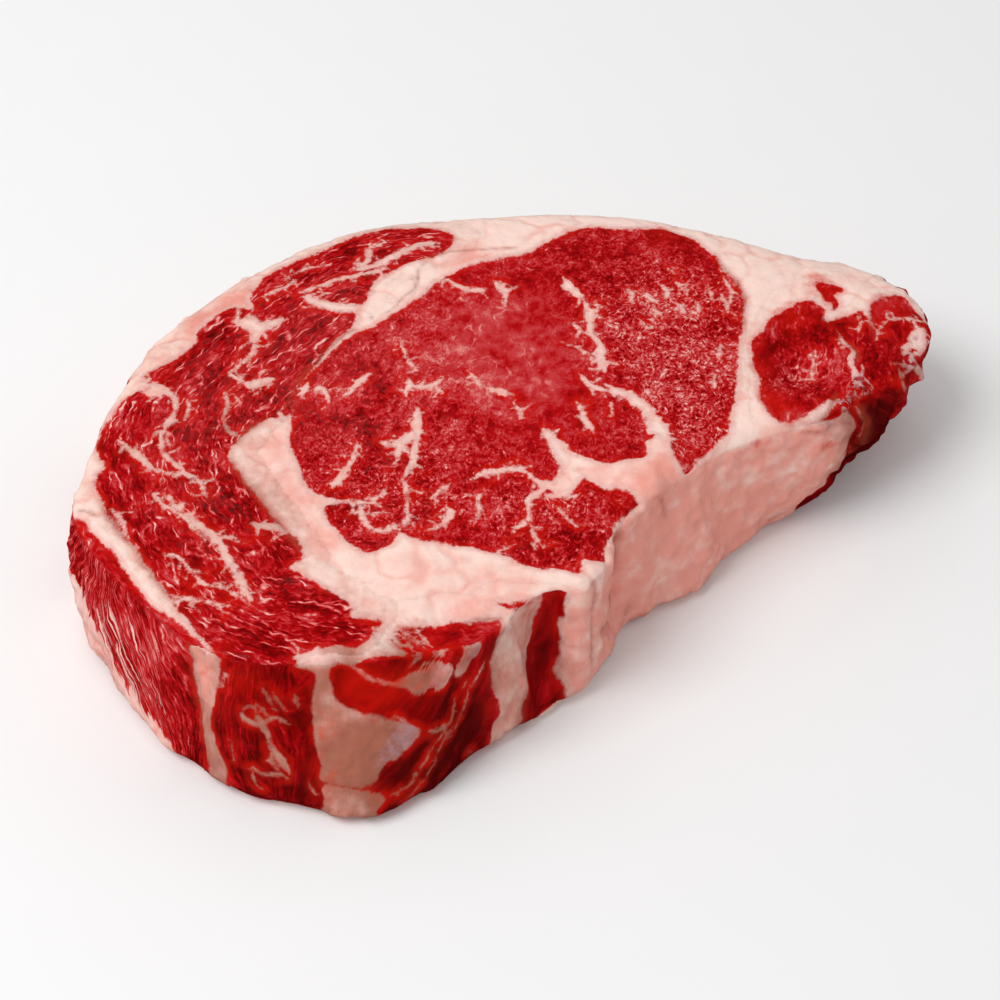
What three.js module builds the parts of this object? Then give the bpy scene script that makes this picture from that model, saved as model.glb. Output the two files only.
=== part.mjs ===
// A thick raw ribeye steak, cut without its bone, lying flat on one of its cut faces.
// It is one piece of meat, so it is one closed solid. Millimetres, +Z up, and the origin is
// on the resting face, under the middle of the steak.

import * as THREE from "three";

// Driving dimensions.
const thickness = 35;
const edgeRadius = 1.5; // the knife leaves the upper edge crisp
const baseRadius = 4; // the lower edge is pressed round by the steak's own weight
const samplesAround = 160;
const wallRows = 9;
const baseEdgeRows = 3;
const topRings = 9;
const baseRings = 4;
const rimWidth = 14; // how far in from the upper edge the face starts to turn down
const footBend = 1.3; // above 1 the foot of the side curves outwards
const grooveEnd = 0.15; // how far into its arch a groove starts and stops, so it stays open at both ends
const cornerShare = 0.3; // where the middle of the upper edge's small round lies, as a share of its radius
const curveSteps = 2000; // steps that measure the outline's length

// Every ring of the cut faces shrinks towards this point, from which the whole outline is seen.
const ringCentre = new THREE.Vector2(10, 16);

// The outline of the upper face, anticlockwise. At each station:
// x and y on the upper edge, how far the foot of the side stands out past that edge,
// how far the side swells at half height, how far the upper edge drops below the face,
// and how far the lower edge is lifted off the table.
const stations = [
  // the outer muscle layer, along the left
  { x: -94.5, y: -21, flare: 2, swell: 1.5, drop: 1, lift: 0 },
  { x: -87, y: -34, flare: 4.5, swell: 2, drop: 0.5, lift: 0 },
  { x: -76, y: -46.5, flare: 7, swell: 2, drop: 0.5, lift: 0 },
  { x: -62, y: -60.5, flare: 8, swell: 1, drop: 0, lift: 0 },
  // the front of the cap and the knob of fat and lean beside it
  { x: -50, y: -63, flare: 12.5, swell: 2, drop: 0, lift: 0 },
  { x: -40, y: -62.5, flare: 15.5, swell: 3, drop: 0.5, lift: 0 },
  { x: -30, y: -62.5, flare: 18, swell: 3, drop: 1, lift: 0 },
  { x: -18, y: -60.5, flare: 13, swell: 3, drop: 1, lift: 0 },
  { x: -6, y: -57.5, flare: 5, swell: 1.5, drop: 0.5, lift: 0 },
  { x: 1, y: -52, flare: 5, swell: 0.5, drop: 0.5, lift: 0 },
  { x: 9, y: -46, flare: 7.5, swell: 0.5, drop: 0.5, lift: 0 },
  { x: 18, y: -42.5, flare: 2, swell: 0.5, drop: 0.5, lift: 0 },
  // the notch where the seam of fat folds in
  { x: 23, y: -37, flare: 0, swell: 0, drop: 0.5, lift: 0 },
  { x: 25, y: -29, flare: 2, swell: -1, drop: 0.5, lift: 0 },
  { x: 31, y: -18.5, flare: 6, swell: 0.5, drop: 0.5, lift: 0 },
  // the long side of fat
  { x: 41, y: -10, flare: 8, swell: 1, drop: 0.5, lift: 0 },
  { x: 52, y: -1, flare: 4.5, swell: 1.5, drop: 0.5, lift: 0 },
  { x: 64, y: 4.5, flare: 1, swell: 2, drop: 0.5, lift: 0 },
  { x: 76, y: 8.5, flare: -2.5, swell: 2, drop: 1, lift: 0 },
  // the tail
  { x: 88, y: 18, flare: -4, swell: 3, drop: 2, lift: 3 },
  { x: 98, y: 28, flare: -7, swell: 1.5, drop: 3, lift: 6 },
  { x: 103, y: 39, flare: -8, swell: 0.5, drop: 3, lift: 7 },
  { x: 100, y: 52, flare: -4, swell: 1, drop: 3, lift: 4 },
  { x: 88, y: 62, flare: -1, swell: 1.5, drop: 3, lift: 2 },
  { x: 74, y: 65, flare: 0, swell: 1.5, drop: 2.5, lift: 0 },
  // the rind of fat along the back
  { x: 60, y: 71, flare: 0, swell: 2, drop: 2.5, lift: 0 },
  { x: 42, y: 78, flare: 1, swell: 2, drop: 2.5, lift: 0 },
  { x: 20, y: 81, flare: 1, swell: 2.5, drop: 2.5, lift: 0 },
  { x: -8, y: 79.5, flare: 1, swell: 2.5, drop: 2.5, lift: 0 },
  { x: -36, y: 74.5, flare: 1, swell: 2.5, drop: 2, lift: 0 },
  { x: -58, y: 60.5, flare: 2, swell: 2.5, drop: 2, lift: 0 },
  { x: -78, y: 40.5, flare: 1.5, swell: 2, drop: 2, lift: 0 },
  { x: -88.5, y: 17.5, flare: 1.5, swell: 1.5, drop: 1.5, lift: 0 },
  { x: -93, y: -5, flare: 1.5, swell: 1.5, drop: 1, lift: 0 },
];

// Low hills and hollows of the upper face, as round or oval bells.
const reliefs = [
  { x: 8, y: 24, alongX: 48, alongY: 40, height: 1.2 }, // the eye
  { x: -48, y: -14, alongX: 9, alongY: 22, height: 0.9 }, // the kernel of fat, upper end
  { x: -16, y: -43, alongX: 30, alongY: 8, height: 1.1 }, // the kernel of fat, lower end
  { x: -66, y: 30, alongX: 18, alongY: 34, height: -1 }, // the cap
  { x: -10, y: -54, alongX: 14, alongY: 5, height: -1.6 }, // the hollow behind the knob
  { x: 70, y: 28, alongX: 12, alongY: 14, height: -1.2 }, // the first muscle of the tail
  { x: 94, y: 38, alongX: 12, alongY: 12, height: -2 }, // the second
];

// Upright grooves down the side, each where its muscles part.
const grooves = [
  { x: -63, y: -60, halfWidth: 3, depth: 2 }, // the corner between two muscles
  { x: 9.5, y: -46, halfWidth: 5, depth: 3 }, // the lean strip between two slabs of fat
  { x: 24.5, y: -31, halfWidth: 3.5, depth: 2.5 }, // the notch
  { x: 84, y: 14, halfWidth: 4, depth: 2 }, // the crease before the tail's round end
];

// A closed curve through three numbers of every station.
function closedCurve(pick) {
  const points = stations.map((station) => new THREE.Vector3(...pick(station)));
  const curve = new THREE.CatmullRomCurve3(points, true, "centripetal");
  curve.arcLengthDivisions = curveSteps;
  return curve;
}

const edgeCurve = closedCurve((s) => [s.x, s.y, 0]);
const sideCurve = closedCurve((s) => [s.flare, s.swell, s.drop]);
const liftCurve = closedCurve((s) => [s.lift, 0, 0]);

// The side's shape at one share of the way round, 0 to 1.
function columnAt(share) {
  // All three curves pass their stations at the same values of this parameter.
  const t = edgeCurve.getUtoTmapping(share);
  const edge = edgeCurve.getPoint(t);
  const tangent = edgeCurve.getTangent(t);
  const side = valuesAt(sideCurve, t);
  return {
    edge: new THREE.Vector2(edge.x, edge.y),
    outward: new THREE.Vector2(tangent.y, -tangent.x).normalize(),
    flare: side.x,
    swell: side.y,
    drop: side.z,
    lift: valuesAt(liftCurve, t).x,
    groove: grooveDepth(edge),
  };
}

// The three numbers between two stations, blended smoothly with no overshoot.
function valuesAt(curve, t) {
  const count = curve.points.length;
  const place = t * count;
  const from = Math.floor(place) % count;
  const blend = THREE.MathUtils.smoothstep(place - Math.floor(place), 0, 1);
  return curve.points[from].clone().lerp(curve.points[(from + 1) % count], blend);
}

// How deep the grooves cut in at a place on the outline.
function grooveDepth(edge) {
  let depth = 0;
  for (const groove of grooves) {
    const away = Math.hypot(edge.x - groove.x, edge.y - groove.y) / groove.halfWidth;
    depth += groove.depth * Math.exp(-away * away);
  }
  return depth;
}

// The height of the upper face over the table.
function faceHeight(x, y) {
  let height = thickness;
  for (const relief of reliefs) {
    const across = (x - relief.x) / relief.alongX;
    const along = (y - relief.y) / relief.alongY;
    height += relief.height * Math.exp(-across * across - along * along);
  }
  return height;
}

// How far out a column stands at one share of its height.
function reach(column, share) {
  const foot = column.flare * Math.pow(1 - share, footBend);
  const belly = column.swell * Math.sin(Math.PI * share);
  const cut = column.groove * Math.sin(Math.PI * THREE.MathUtils.lerp(grooveEnd, 1 - grooveEnd, share));
  return foot + belly - cut;
}

// A point straight out from the upper edge.
function pointOut(column, distance, z) {
  const place = column.edge.clone().addScaledVector(column.outward, distance);
  return new THREE.Vector3(place.x, place.y, z);
}

// One column of the skin, from the lower edge up to the upper one.
function sideColumn(column) {
  const top = faceHeight(column.edge.x, column.edge.y) - column.drop;
  const foot = column.lift + baseRadius;
  const points = [];
  for (let row = 0; row < baseEdgeRows; row++) {
    const angle = (Math.PI / 2) * (row / baseEdgeRows);
    const inset = baseRadius * (1 - Math.sin(angle)) + column.lift * (1 - row / baseEdgeRows);
    const z = foot * (1 - Math.cos(angle));
    points.push(pointOut(column, reach(column, 0) - inset, z));
  }
  for (let row = 0; row <= wallRows; row++) {
    const share = row / wallRows;
    const z = THREE.MathUtils.lerp(foot, top - edgeRadius, share);
    points.push(pointOut(column, reach(column, share), z));
  }
  points.push(pointOut(column, -cornerShare * edgeRadius, top - cornerShare * edgeRadius));
  points.push(pointOut(column, -edgeRadius, top));
  return points;
}

// The skin as rings: the resting face from its middle outwards, the side, then the upper face.
function buildRings() {
  const columns = [];
  for (let i = 0; i < samplesAround; i++) {
    columns.push(columnAt(i / samplesAround));
  }
  const sides = columns.map(sideColumn);
  const rings = [];
  for (let ring = 1; ring <= baseRings; ring++) {
    const share = ring / (baseRings + 1);
    rings.push(sides.map((side) => towardsCentre(side[0], share)));
  }
  for (let row = 0; row < sides[0].length; row++) {
    rings.push(sides.map((side) => side[row]));
  }
  for (let ring = topRings; ring >= 1; ring--) {
    const share = ring / (topRings + 1);
    rings.push(sides.map((side, i) => upperPoint(side.at(-1), share, columns[i])));
  }
  return rings;
}

// A point of the table between the rings' centre and a point of the outline.
function towardsCentre(point, share) {
  const x = THREE.MathUtils.lerp(ringCentre.x, point.x, share);
  const y = THREE.MathUtils.lerp(ringCentre.y, point.y, share);
  return new THREE.Vector3(x, y, 0);
}

// A point of the upper face, which turns down a little near its rim.
function upperPoint(rim, share, column) {
  const point = towardsCentre(rim, share);
  const inward = Math.hypot(point.x - rim.x, point.y - rim.y);
  const turnedDown = Math.max(0, 1 - inward / rimWidth) ** 2;
  point.z = faceHeight(point.x, point.y) - column.drop * turnedDown;
  return point;
}

// Joins the rings into one closed skin, with a point at the middle of each cut face.
function buildGeometry() {
  const rings = buildRings();
  const positions = rings.flat().flatMap((point) => point.toArray());
  const under = positions.length / 3;
  const over = under + 1;
  positions.push(ringCentre.x, ringCentre.y, 0);
  positions.push(ringCentre.x, ringCentre.y, faceHeight(ringCentre.x, ringCentre.y));
  const triangles = [];
  const at = (ring, i) => ring * samplesAround + (i % samplesAround);
  for (let i = 0; i < samplesAround; i++) {
    triangles.push(under, at(0, i + 1), at(0, i));
    for (let ring = 0; ring + 1 < rings.length; ring++) {
      triangles.push(at(ring, i), at(ring, i + 1), at(ring + 1, i + 1));
      triangles.push(at(ring, i), at(ring + 1, i + 1), at(ring + 1, i));
    }
    triangles.push(over, at(rings.length - 1, i), at(rings.length - 1, i + 1));
  }
  const geometry = new THREE.BufferGeometry();
  geometry.setAttribute("position", new THREE.Float32BufferAttribute(positions, 3));
  geometry.setIndex(triangles);
  return geometry;
}

// Puts the origin under the middle of the steak.
function centred(geometry) {
  geometry.computeBoundingBox();
  const middle = geometry.boundingBox.getCenter(new THREE.Vector3());
  geometry.translate(-middle.x, -middle.y, -geometry.boundingBox.min.z);
  return geometry;
}

const rawMeat = new THREE.MeshStandardMaterial({ color: 0xb3202a, roughness: 0.4 });
const steak = new THREE.Mesh(centred(buildGeometry()), rawMeat);
steak.name = "steak";

const part = new THREE.Group();
part.add(steak);

export default part;
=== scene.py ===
import itertools
import math

import bmesh
import bpy
import numpy as np
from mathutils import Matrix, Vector, noise
from mathutils.bvhtree import BVHTree


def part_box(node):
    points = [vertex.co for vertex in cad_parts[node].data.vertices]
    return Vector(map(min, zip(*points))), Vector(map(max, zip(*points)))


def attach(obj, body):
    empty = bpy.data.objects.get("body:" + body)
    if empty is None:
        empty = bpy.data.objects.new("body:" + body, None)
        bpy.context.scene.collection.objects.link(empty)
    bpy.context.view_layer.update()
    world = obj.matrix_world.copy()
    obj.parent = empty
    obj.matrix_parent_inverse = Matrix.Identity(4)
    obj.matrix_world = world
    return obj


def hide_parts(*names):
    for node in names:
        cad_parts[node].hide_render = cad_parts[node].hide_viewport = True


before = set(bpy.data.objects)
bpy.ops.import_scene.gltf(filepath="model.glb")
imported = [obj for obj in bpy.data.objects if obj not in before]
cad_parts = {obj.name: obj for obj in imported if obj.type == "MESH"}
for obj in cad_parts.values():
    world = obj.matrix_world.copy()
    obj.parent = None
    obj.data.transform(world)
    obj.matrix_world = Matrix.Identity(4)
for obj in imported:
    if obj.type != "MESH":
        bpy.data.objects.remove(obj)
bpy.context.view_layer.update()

# Raw ribeye steak. Lengths in the dictionaries are millimetres: x to the tail, y to the back, z up.
# On the side, a place is (s, z): s runs round the steak from its left end by way of the front.

cadLow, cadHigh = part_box("steak")
mm = (cadHigh[0] - cadLow[0]) / 200.36    # the drawings are for a steak 200.36 long
scene = bpy.context.scene


steakShape = {
    "voxel": 0.60,            # spacing of the skin's points
    "middle": (7.0, 14.0),    # bearings are taken about this place
    "waist": 18.0,            # height at which s is measured
    "topHeight": 33.0,        # heights at which the outlines of the upper and under face are taken
    "footHeight": 1.5,
    "mostTriangles": 196000,
    "keepWall": 0.12,         # how readily points are dropped: 0 never, 1 first
    "keepBack": 0.4,
    "keepBottom": 1.0,
    "foldLimit": 0.1,         # cosine between two faces below which their edge is evened out
    "foldRounds": 12,
    "foldPull": 0.7,
    "noiseSeed": 5,           # without it the noise vectors would change with the time of day
}

# Muscles on the upper cut face; all else there is fat.
muscles = {
    "eye": [
        (-17, 50.5), (-15, 52.5), (-9, 56), (-2, 58.5), (4, 60.5), (7, 63.5), (12, 67), (18, 70),
        (25, 70.3), (29, 70), (36, 71.3), (41, 69), (45, 66.5), (48, 62), (50, 58), (51, 54.5),
        (53.3, 51), (55, 46), (55.2, 41), (53.5, 34), (52.6, 27), (51.5, 17), (50.5, 9), (49, 2),
        (46, -2.5), (41.5, -7), (38.7, -10.7), (36, -5.5), (33, -1.5), (30, -3), (29.5, -7), (26, -8),
        (21, -9.5), (15, -7), (12, -4.8), (8, 0.7), (8, -4), (10, -9), (10.4, -12.5), (9, -15),
        (8.8, -17.5), (11.5, -18.3), (14, -16), (15.5, -13.8), (18, -15), (20.5, -17), (24, -16.8),
        (26.7, -19), (26.3, -22), (22, -26), (21.3, -29), (20, -32), (19.5, -36.7), (15.2, -37),
        (14.3, -40.6), (10, -40), (4, -39.6), (0, -37.5), (-5.5, -35.2), (-8.5, -33.3), (-13, -33),
        (-20, -31.3), (-24.5, -30), (-26.3, -33), (-32, -34.9), (-36.5, -31), (-40.5, -25),
        (-41.3, -21.5), (-36, -20.7), (-41, -19.4), (-44.3, -18.3), (-47, -12), (-49.5, -4), (-50.3, 3),
        (-50, 12), (-47.5, 19), (-44, 24), (-38, 31), (-30, 37), (-24, 42.5), (-20.5, 46.5)],
    "cap": [
        (-14, 65.5), (-14.5, 68.5), (-18, 70.5), (-26, 71.3), (-33, 70.5), (-40, 67), (-48, 62),
        (-55.5, 57), (-60.5, 52), (-62.3, 46), (-61.5, 42), (-64, 42.5), (-67, 43.3), (-70.5, 40.5),
        (-73.5, 35), (-75, 30), (-80, 25), (-85, 20), (-84, 17), (-86, 15.5), (-89.5, 12.5), (-92.5, 6),
        (-94, -1), (-93, -6), (-91.5, -9), (-93, -15), (-90.3, -21), (-87, -26.5), (-80, -36.5),
        (-74, -46), (-68.5, -54), (-62.5, -62.5), (-60, -69), (-54, -71), (-46, -66.5), (-44.5, -62.6),
        (-36, -61.3), (-31, -59.5), (-27.8, -54.5), (-34, -53.5), (-34.7, -50), (-40.5, -45.3),
        (-48, -39.5), (-45.8, -36), (-49.5, -29), (-56, -20), (-61.5, -11), (-64, -6), (-60.5, 0),
        (-55.5, 5), (-50.5, 6.5), (-49.5, 13), (-47, 20), (-42, 29.5), (-40, 31.7), (-37.7, 35),
        (-35.3, 43), (-32.5, 50.5), (-27, 55.5), (-21, 58), (-16, 61.5)],
    "outer": [
        (-99, -23.5), (-95, -24), (-92, -28), (-88, -33), (-83.5, -40), (-80, -45), (-76.5, -49.5),
        (-72, -53), (-68, -57), (-64, -61.5), (-62, -66), (-70, -72), (-90, -60), (-104, -40),
        (-104, -26)],
    "knob": [
        (-26, -58), (-24, -55.5), (-21, -54.5), (-17, -54), (-14, -53), (-11, -53.5), (-8, -53.8),
        (-5, -53), (-2.5, -53.5), (-3.5, -57), (-7, -59), (-11, -59.5), (-14, -60), (-18, -61),
        (-22, -61.5)],
    "frontLip": [
        (-49, -66), (-44.5, -65.2), (-40, -64.3), (-33, -63.8), (-28, -62.6), (-22, -63.4), (-16, -62.6),
        (-10, -61.6), (-6, -60.2), (-4, -58.4), (-2, -62), (-8, -72), (-30, -80), (-52, -76)],
    "tailHeart": [
        (56, 30), (59, 34), (61, 38), (64, 41), (68, 43.5), (71, 44.5), (73, 43), (74, 41.5),
        (73.5, 38.5), (75.5, 36.5), (77, 33.5), (78.5, 31), (79, 28), (78.4, 25), (78.4, 21), (78, 17.2),
        (76.2, 14.2), (74.2, 12.6), (72, 12), (70, 10.5), (68, 8.5), (65.5, 6), (63, 5), (60, 5.3),
        (58, 7), (57.5, 10), (57, 14), (56.5, 20), (56, 25)],
    "tailMiddle": [
        (74.5, 37.5), (77, 39), (80, 40.5), (82.5, 41.8), (84.3, 40), (85, 37), (87, 35), (90, 33),
        (92, 30), (91, 24), (88, 18), (85, 17), (82.6, 19), (80.4, 21.5), (79.9, 24.5), (80.3, 27),
        (79.5, 29.5), (77.5, 31.5), (76.5, 34)],
    "tailEnd": [
        (85.3, 43.5), (86.5, 45.5), (89, 47.5), (92, 48.7), (95, 47.5), (96.5, 44), (98, 41), (100, 39),
        (102, 36), (102, 20), (96, 2), (90, -6), (79, -12), (72, -14), (73, -9), (75, -4), (77.5, 1),
        (78, 5), (77, 7.5), (76.4, 9.5), (77.6, 12.5), (79.3, 15), (82, 17.5), (88, 20), (89, 28),
        (87, 34), (85.2, 38), (85, 41)],
    "tailFold": [
        (65.5, 3.8), (68, 5.2), (71, 7), (73.2, 10), (74.6, 11.8), (75.6, 9), (75, 5.5), (72.5, 2.8),
        (70, 1.5), (67.5, 1.2)],
    "redSpot": [
        (72.8, 50.2), (75, 50.3), (78.5, 49.3), (78.7, 47.5), (77.3, 46.5), (78, 44), (77.5, 42.5),
        (75.8, 42), (75.8, 44), (74.3, 45)],
    "frontSpot": [
        (-3, -49.5), (2, -48.6), (8, -48), (9, -49), (4, -49.6), (0, -50.3)],
}

# Patches of fat inside the muscles.
fatPatches = [
    [(-50, 45.5), (-46, 44.5), (-41, 43), (-36, 42.5), (-36, 40), (-42, 40), (-46, 41.5), (-49, 43)],
    [(-66, 38), (-62, 39.5), (-59, 37.5), (-55, 39), (-54, 37.5), (-58, 34.5), (-60, 31), (-62, 30.5),
     (-62, 34)],
    [(-57, -27), (-52, -27.3), (-49, -28), (-49, -30), (-54, -29.3)],
    [(-62, 17), (-58.5, 18.8), (-55, 18.5), (-57, 16), (-60, 15)],
    [(-86, 16), (-81, 17.5), (-79, 14.5), (-83, 13)],
    [(91, 31), (93, 33), (95, 36), (97, 38), (98, 35), (98, 32), (96, 31), (94, 31.5), (93, 30)],
    [(91.5, 29.5), (94, 29.5), (94.5, 26), (93.3, 24.7), (92, 26)],
    [(79, 18.4), (81, 19.4), (83, 18.9), (84, 17.5), (82, 17), (80, 16.5)],
]

# Veins of fat: x, y, width.
veins = [
    [(12.5, 51, 1.5), (13.5, 48.5, 2.4), (15.5, 45.5, 2.2), (17.5, 42.5, 1), (18.3, 40, 2.4),
     (18.5, 36, 1.8), (18.8, 32, 1), (20, 28, 1.8), (21, 24, 2.2), (21.3, 20, 1.4)],
    [(17.5, 42.5, 0.9), (19.5, 42, 0.9), (21.5, 41, 0.6)],
    [(14, 35.5, 0.5), (16.5, 33.5, 0.9), (18.5, 31.5, 1)],
    [(11.5, 28.5, 0.5), (15, 26.5, 0.9), (19, 24, 0.9)],
    [(15.5, 19, 0.8), (17, 16.5, 1.4), (18.5, 14.4, 1.3), (21.5, 13.4, 1.3)],
    [(21.5, 15.5, 1.2), (24, 12.8, 2.4), (27, 10.8, 2.8), (29.5, 8.3, 2.8), (31.8, 4.8, 3), (33.5, 1, 4),
     (35, -4, 5)],
    [(14.5, 9.5, 0.6), (16, 6, 1.1), (17.2, 2.5, 1.2), (18.4, -0.5, 0.8)],
    [(22.5, 9.5, 0.8), (22.7, 5.5, 0.7)],
    [(0, 9.5, 0.7), (1.2, 7, 1), (2.4, 4.8, 0.7)],
    [(7, 1.2, 1.2), (9, -2.4, 2.2), (11.5, -6, 3)],
    [(-9.5, -14.3, 0.9), (-7, -12.4, 1.3), (-3, -11.3, 1.7), (0, -10.8, 1.9), (2.3, -12, 1.1),
     (4.6, -14.2, 1.3), (7, -16, 2.6), (10, -15.5, 3)],
    [(-0.4, -8.6, 0.8), (0.4, -10.8, 1.5)],
    [(7.5, -16, 2.8), (5.2, -18.5, 2.6), (3.6, -20.5, 1.7), (3.4, -23, 1), (3, -26, 1.2), (0, -28.2, 0.8)],
    [(3, -26, 0.9), (4.8, -30, 0.9), (6.6, -33.5, 0.7)],
    [(7.5, -19.6, 2.2), (11, -18.4, 2), (14, -16, 1.5)],
    [(9.5, -22, 0.6), (11.5, -25, 0.9), (14, -28, 0.7)],
    [(-3.5, -35, 0.6), (0.5, -32.8, 0.8)],
    [(-6.5, -17, 0.6), (-7.4, -20.5, 1), (-7.6, -25.5, 0.8)],
    [(-21.7, 8, 1.2), (-21.7, 4, 1.8), (-21.6, 0, 2.3), (-22.1, -4, 1.4), (-22.5, -8, 1.8),
     (-22.2, -12.5, 1.1)],
    [(-22, 0.5, 2), (-24.3, -2.2, 2.2), (-25.6, -5.5, 1.6), (-25.6, -8, 0.8)],
    [(-30, -1.8, 0.6), (-27.5, -3.4, 1.2), (-25, -3.2, 1.4)],
    [(-22.6, -8, 1), (-23.8, -12.5, 1), (-23.4, -20, 0.9), (-23.4, -28.5, 0.9)],
    [(-34.8, -3, 0.9), (-35.8, -8, 1.1), (-38, -12, 1.6), (-40, -16, 2)],
    [(-24.6, 12, 1), (-23.6, 15, 1.7), (-23.8, 18, 0.7)],
    [(-23.5, 14.8, 1.2), (-19.5, 14.3, 1.4), (-15.8, 16.8, 0.9)],
    [(-10.2, 20, 0.7), (-8.7, 17.2, 1), (-7.3, 14, 0.8)],
    [(-5.5, 14, 1.2), (-2.6, 13, 1.6), (-1, 11.2, 1)],
    [(-26.6, 29.5, 1.2), (-25.6, 26.5, 0.9), (-24, 23, 0.7), (-22, 20.5, 0.6)],
    [(-32.8, 19, 1.3), (-35, 16.5, 1.6), (-37, 13.5, 1.3), (-39, 11.5, 0.8)],
    [(-47.2, 17, 1), (-47.3, 14.5, 1.4), (-49, 12, 0.8)],
    [(-47, 14.5, 1), (-43.6, 14.2, 1.2), (-41.6, 10, 0.9)],
    [(-33.6, -21, 1), (-33, -24, 1.3), (-31.8, -27, 1.1), (-29, -28.6, 1.2), (-26, -28.2, 1.1),
     (-24, -26.5, 0.9)],
    [(-33.2, -20, 0.8), (-29.2, -19, 0.9), (-28, -16, 0.7)],
    [(-37, -20.7, 1.2), (-33, -20.6, 0.9), (-29, -21.2, 0.5)],
    [(-33, -24, 0.8), (-29.8, -24.2, 0.7), (-27, -24, 0.6)],
    [(-14.8, -22, 1), (-13.8, -25, 1.7), (-15.4, -27.4, 1), (-19, -28.6, 0.8)],
    [(-14, -15, 0.8), (-16, -17.5, 1), (-18, -20, 0.7)],
    [(-16, 52, 0.8), (-13, 49, 1), (-10, 47.3, 1.7), (-6, 47.5, 0.8)],
    [(-4.8, 50.5, 1.2), (-2.6, 48, 1.7), (-1.4, 45, 1), (-2, 41, 0.6)],
    [(27.5, 47.5, 0.9), (28.6, 45, 1.3), (29, 42.5, 0.7)],
    [(31.5, 46.8, 0.7), (32.7, 44.8, 1.2), (34.8, 43.8, 0.6)],
    [(35.6, 50, 0.8), (37, 47.4, 1.6), (36.2, 44.6, 1.0)],
    [(39.2, 50.4, 0.6), (41, 48.4, 1.1), (42.6, 47.6, 0.6)],
    [(33.6, 40.6, 0.6), (35.4, 38.9, 0.9), (35.8, 37, 0.5)],
    [(38.8, 43.4, 0.7), (40.2, 40.8, 1.3), (40.8, 38.2, 0.7)],
    [(43.4, 43.6, 0.6), (44.4, 41, 1.0), (44, 38.6, 0.6)],
    [(37.4, 55.4, 0.6), (39, 53.6, 0.8)],
    [(46.4, 49.2, 0.5), (47.4, 46.6, 0.8), (47, 44, 0.5)],
    [(50, 46, 0.8), (50.8, 42, 1)],
    [(30.8, 36, 1), (31.8, 33, 1.1)],
    [(51, 52, 0.6), (52.2, 47, 0.8), (51.7, 43, 0.8), (50.6, 39.5, 0.6)],
    [(49, 30, 0.6), (48, 25.8, 0.8), (47.6, 23.4, 0.5)],
    [(46.8, 19, 0.6), (46.2, 14.6, 0.8)],
    [(-77, -17, 0.8), (-73, -23, 1.1), (-68, -28, 1.7), (-63, -33, 2.3), (-61, -38, 2.3), (-58, -44, 1.8),
     (-55, -49, 0.9)],
    [(-89, -1, 1.1), (-84, -6, 1.2), (-79, -11, 1.2), (-74, -11.8, 1), (-70, -14, 1.2), (-67, -19, 0.9)],
    [(-79, -5, 1), (-74.5, -9.5, 1.3), (-70.5, -15, 1)],
    [(-64, -30.5, 0.8), (-60, -31, 0.7)],
    [(-76, -35, 0.7), (-72, -36.8, 0.8), (-68.5, -41, 0.8), (-65, -44, 0.9), (-61, -45.4, 0.7),
     (-58, -47, 0.7)],
    [(-74, -47, 0.7), (-69, -47.8, 1), (-64.5, -49.2, 0.8), (-60, -50, 0.6)],
    [(-88, -22, 0.7), (-86, -26, 0.8), (-83.6, -30.5, 0.7)],
    [(-80, -17, 0.9), (-76, -21.5, 0.8), (-71, -26.5, 0.9), (-68, -31, 0.8)],
    [(-60, 31, 2), (-61, 26, 1.1), (-64, 22.5, 1.1), (-65, 20, 0.9), (-62, 17.5, 1.2)],
    [(-66, 14, 0.6), (-65.2, 10, 0.9), (-66, 5.5, 0.7), (-64, 1.5, 1), (-61.5, 0, 1)],
    [(-80, 16, 1.5), (-78, 13, 1.5), (-77, 9, 1.3), (-77.6, 5, 1.4), (-79.4, 0.5, 1.3), (-79, -5, 1)],
    [(-75, 12, 0.7), (-74, 8.5, 0.8), (-74.4, 5, 0.6)],
    [(-55, 52, 0.6), (-50.5, 55, 0.8), (-45, 57, 0.6)],
    [(-59.5, 46, 0.7), (-55.5, 49, 0.8), (-52, 52, 0.6)],
    [(-51, 47, 0.9), (-44, 50.3, 1.2), (-36.5, 52.4, 1.3), (-30, 55, 1)],
    [(-38, 54.6, 1.5), (-33.5, 56, 2.4), (-29.5, 59, 2.3), (-25.5, 62, 1.8), (-21.5, 64.2, 1.9),
     (-17.5, 64.4, 1)],
    [(-37, 55.5, 1.8), (-35.2, 59, 1.8), (-34.6, 63.6, 1)],
    [(-34, 62.6, 0.9), (-30, 65.6, 0.8)],
    [(-46, -63.4, 1), (-39, -62, 1.3), (-32, -61.4, 1.4)],
    [(-32, -62, 1.2), (-28.5, -60.3, 1.5), (-26.6, -57, 1.3), (-23.5, -60, 1)],
    [(-25, -56, 0.3), (-22, -58, 0.45), (-20.5, -61, 0.3)],
    [(-24, -55.5, 0.3), (-20.5, -57.3, 0.45), (-18.8, -60.3, 0.3)],
    [(-22.5, -55.2, 0.3), (-19.3, -56.8, 0.45), (-17.5, -59.5, 0.3)],
    [(-51, 2, 1.2), (-52, 5.5, 1.6), (-54, 8, 0.8)],
    [(86, 33, 0.8), (87, 36, 0.8), (88.5, 38.5, 0.8), (90.5, 39.8, 0.8), (95, 40.3, 0.7),
     (97.5, 40.5, 0.7)],
    [(81, 34.5, 0.6), (82, 37, 0.7), (83.5, 38.7, 0.8), (85, 38.5, 0.7)],
    [(77, 33.5, 0.8), (78, 31, 1.1), (80, 29, 0.9)],
    [(70, 21, 0.5), (70.4, 25, 0.7), (70.8, 29, 0.6)],
    [(90.3, 25, 0.5), (90.8, 21, 0.6), (91, 17, 0.5)],
]

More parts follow.
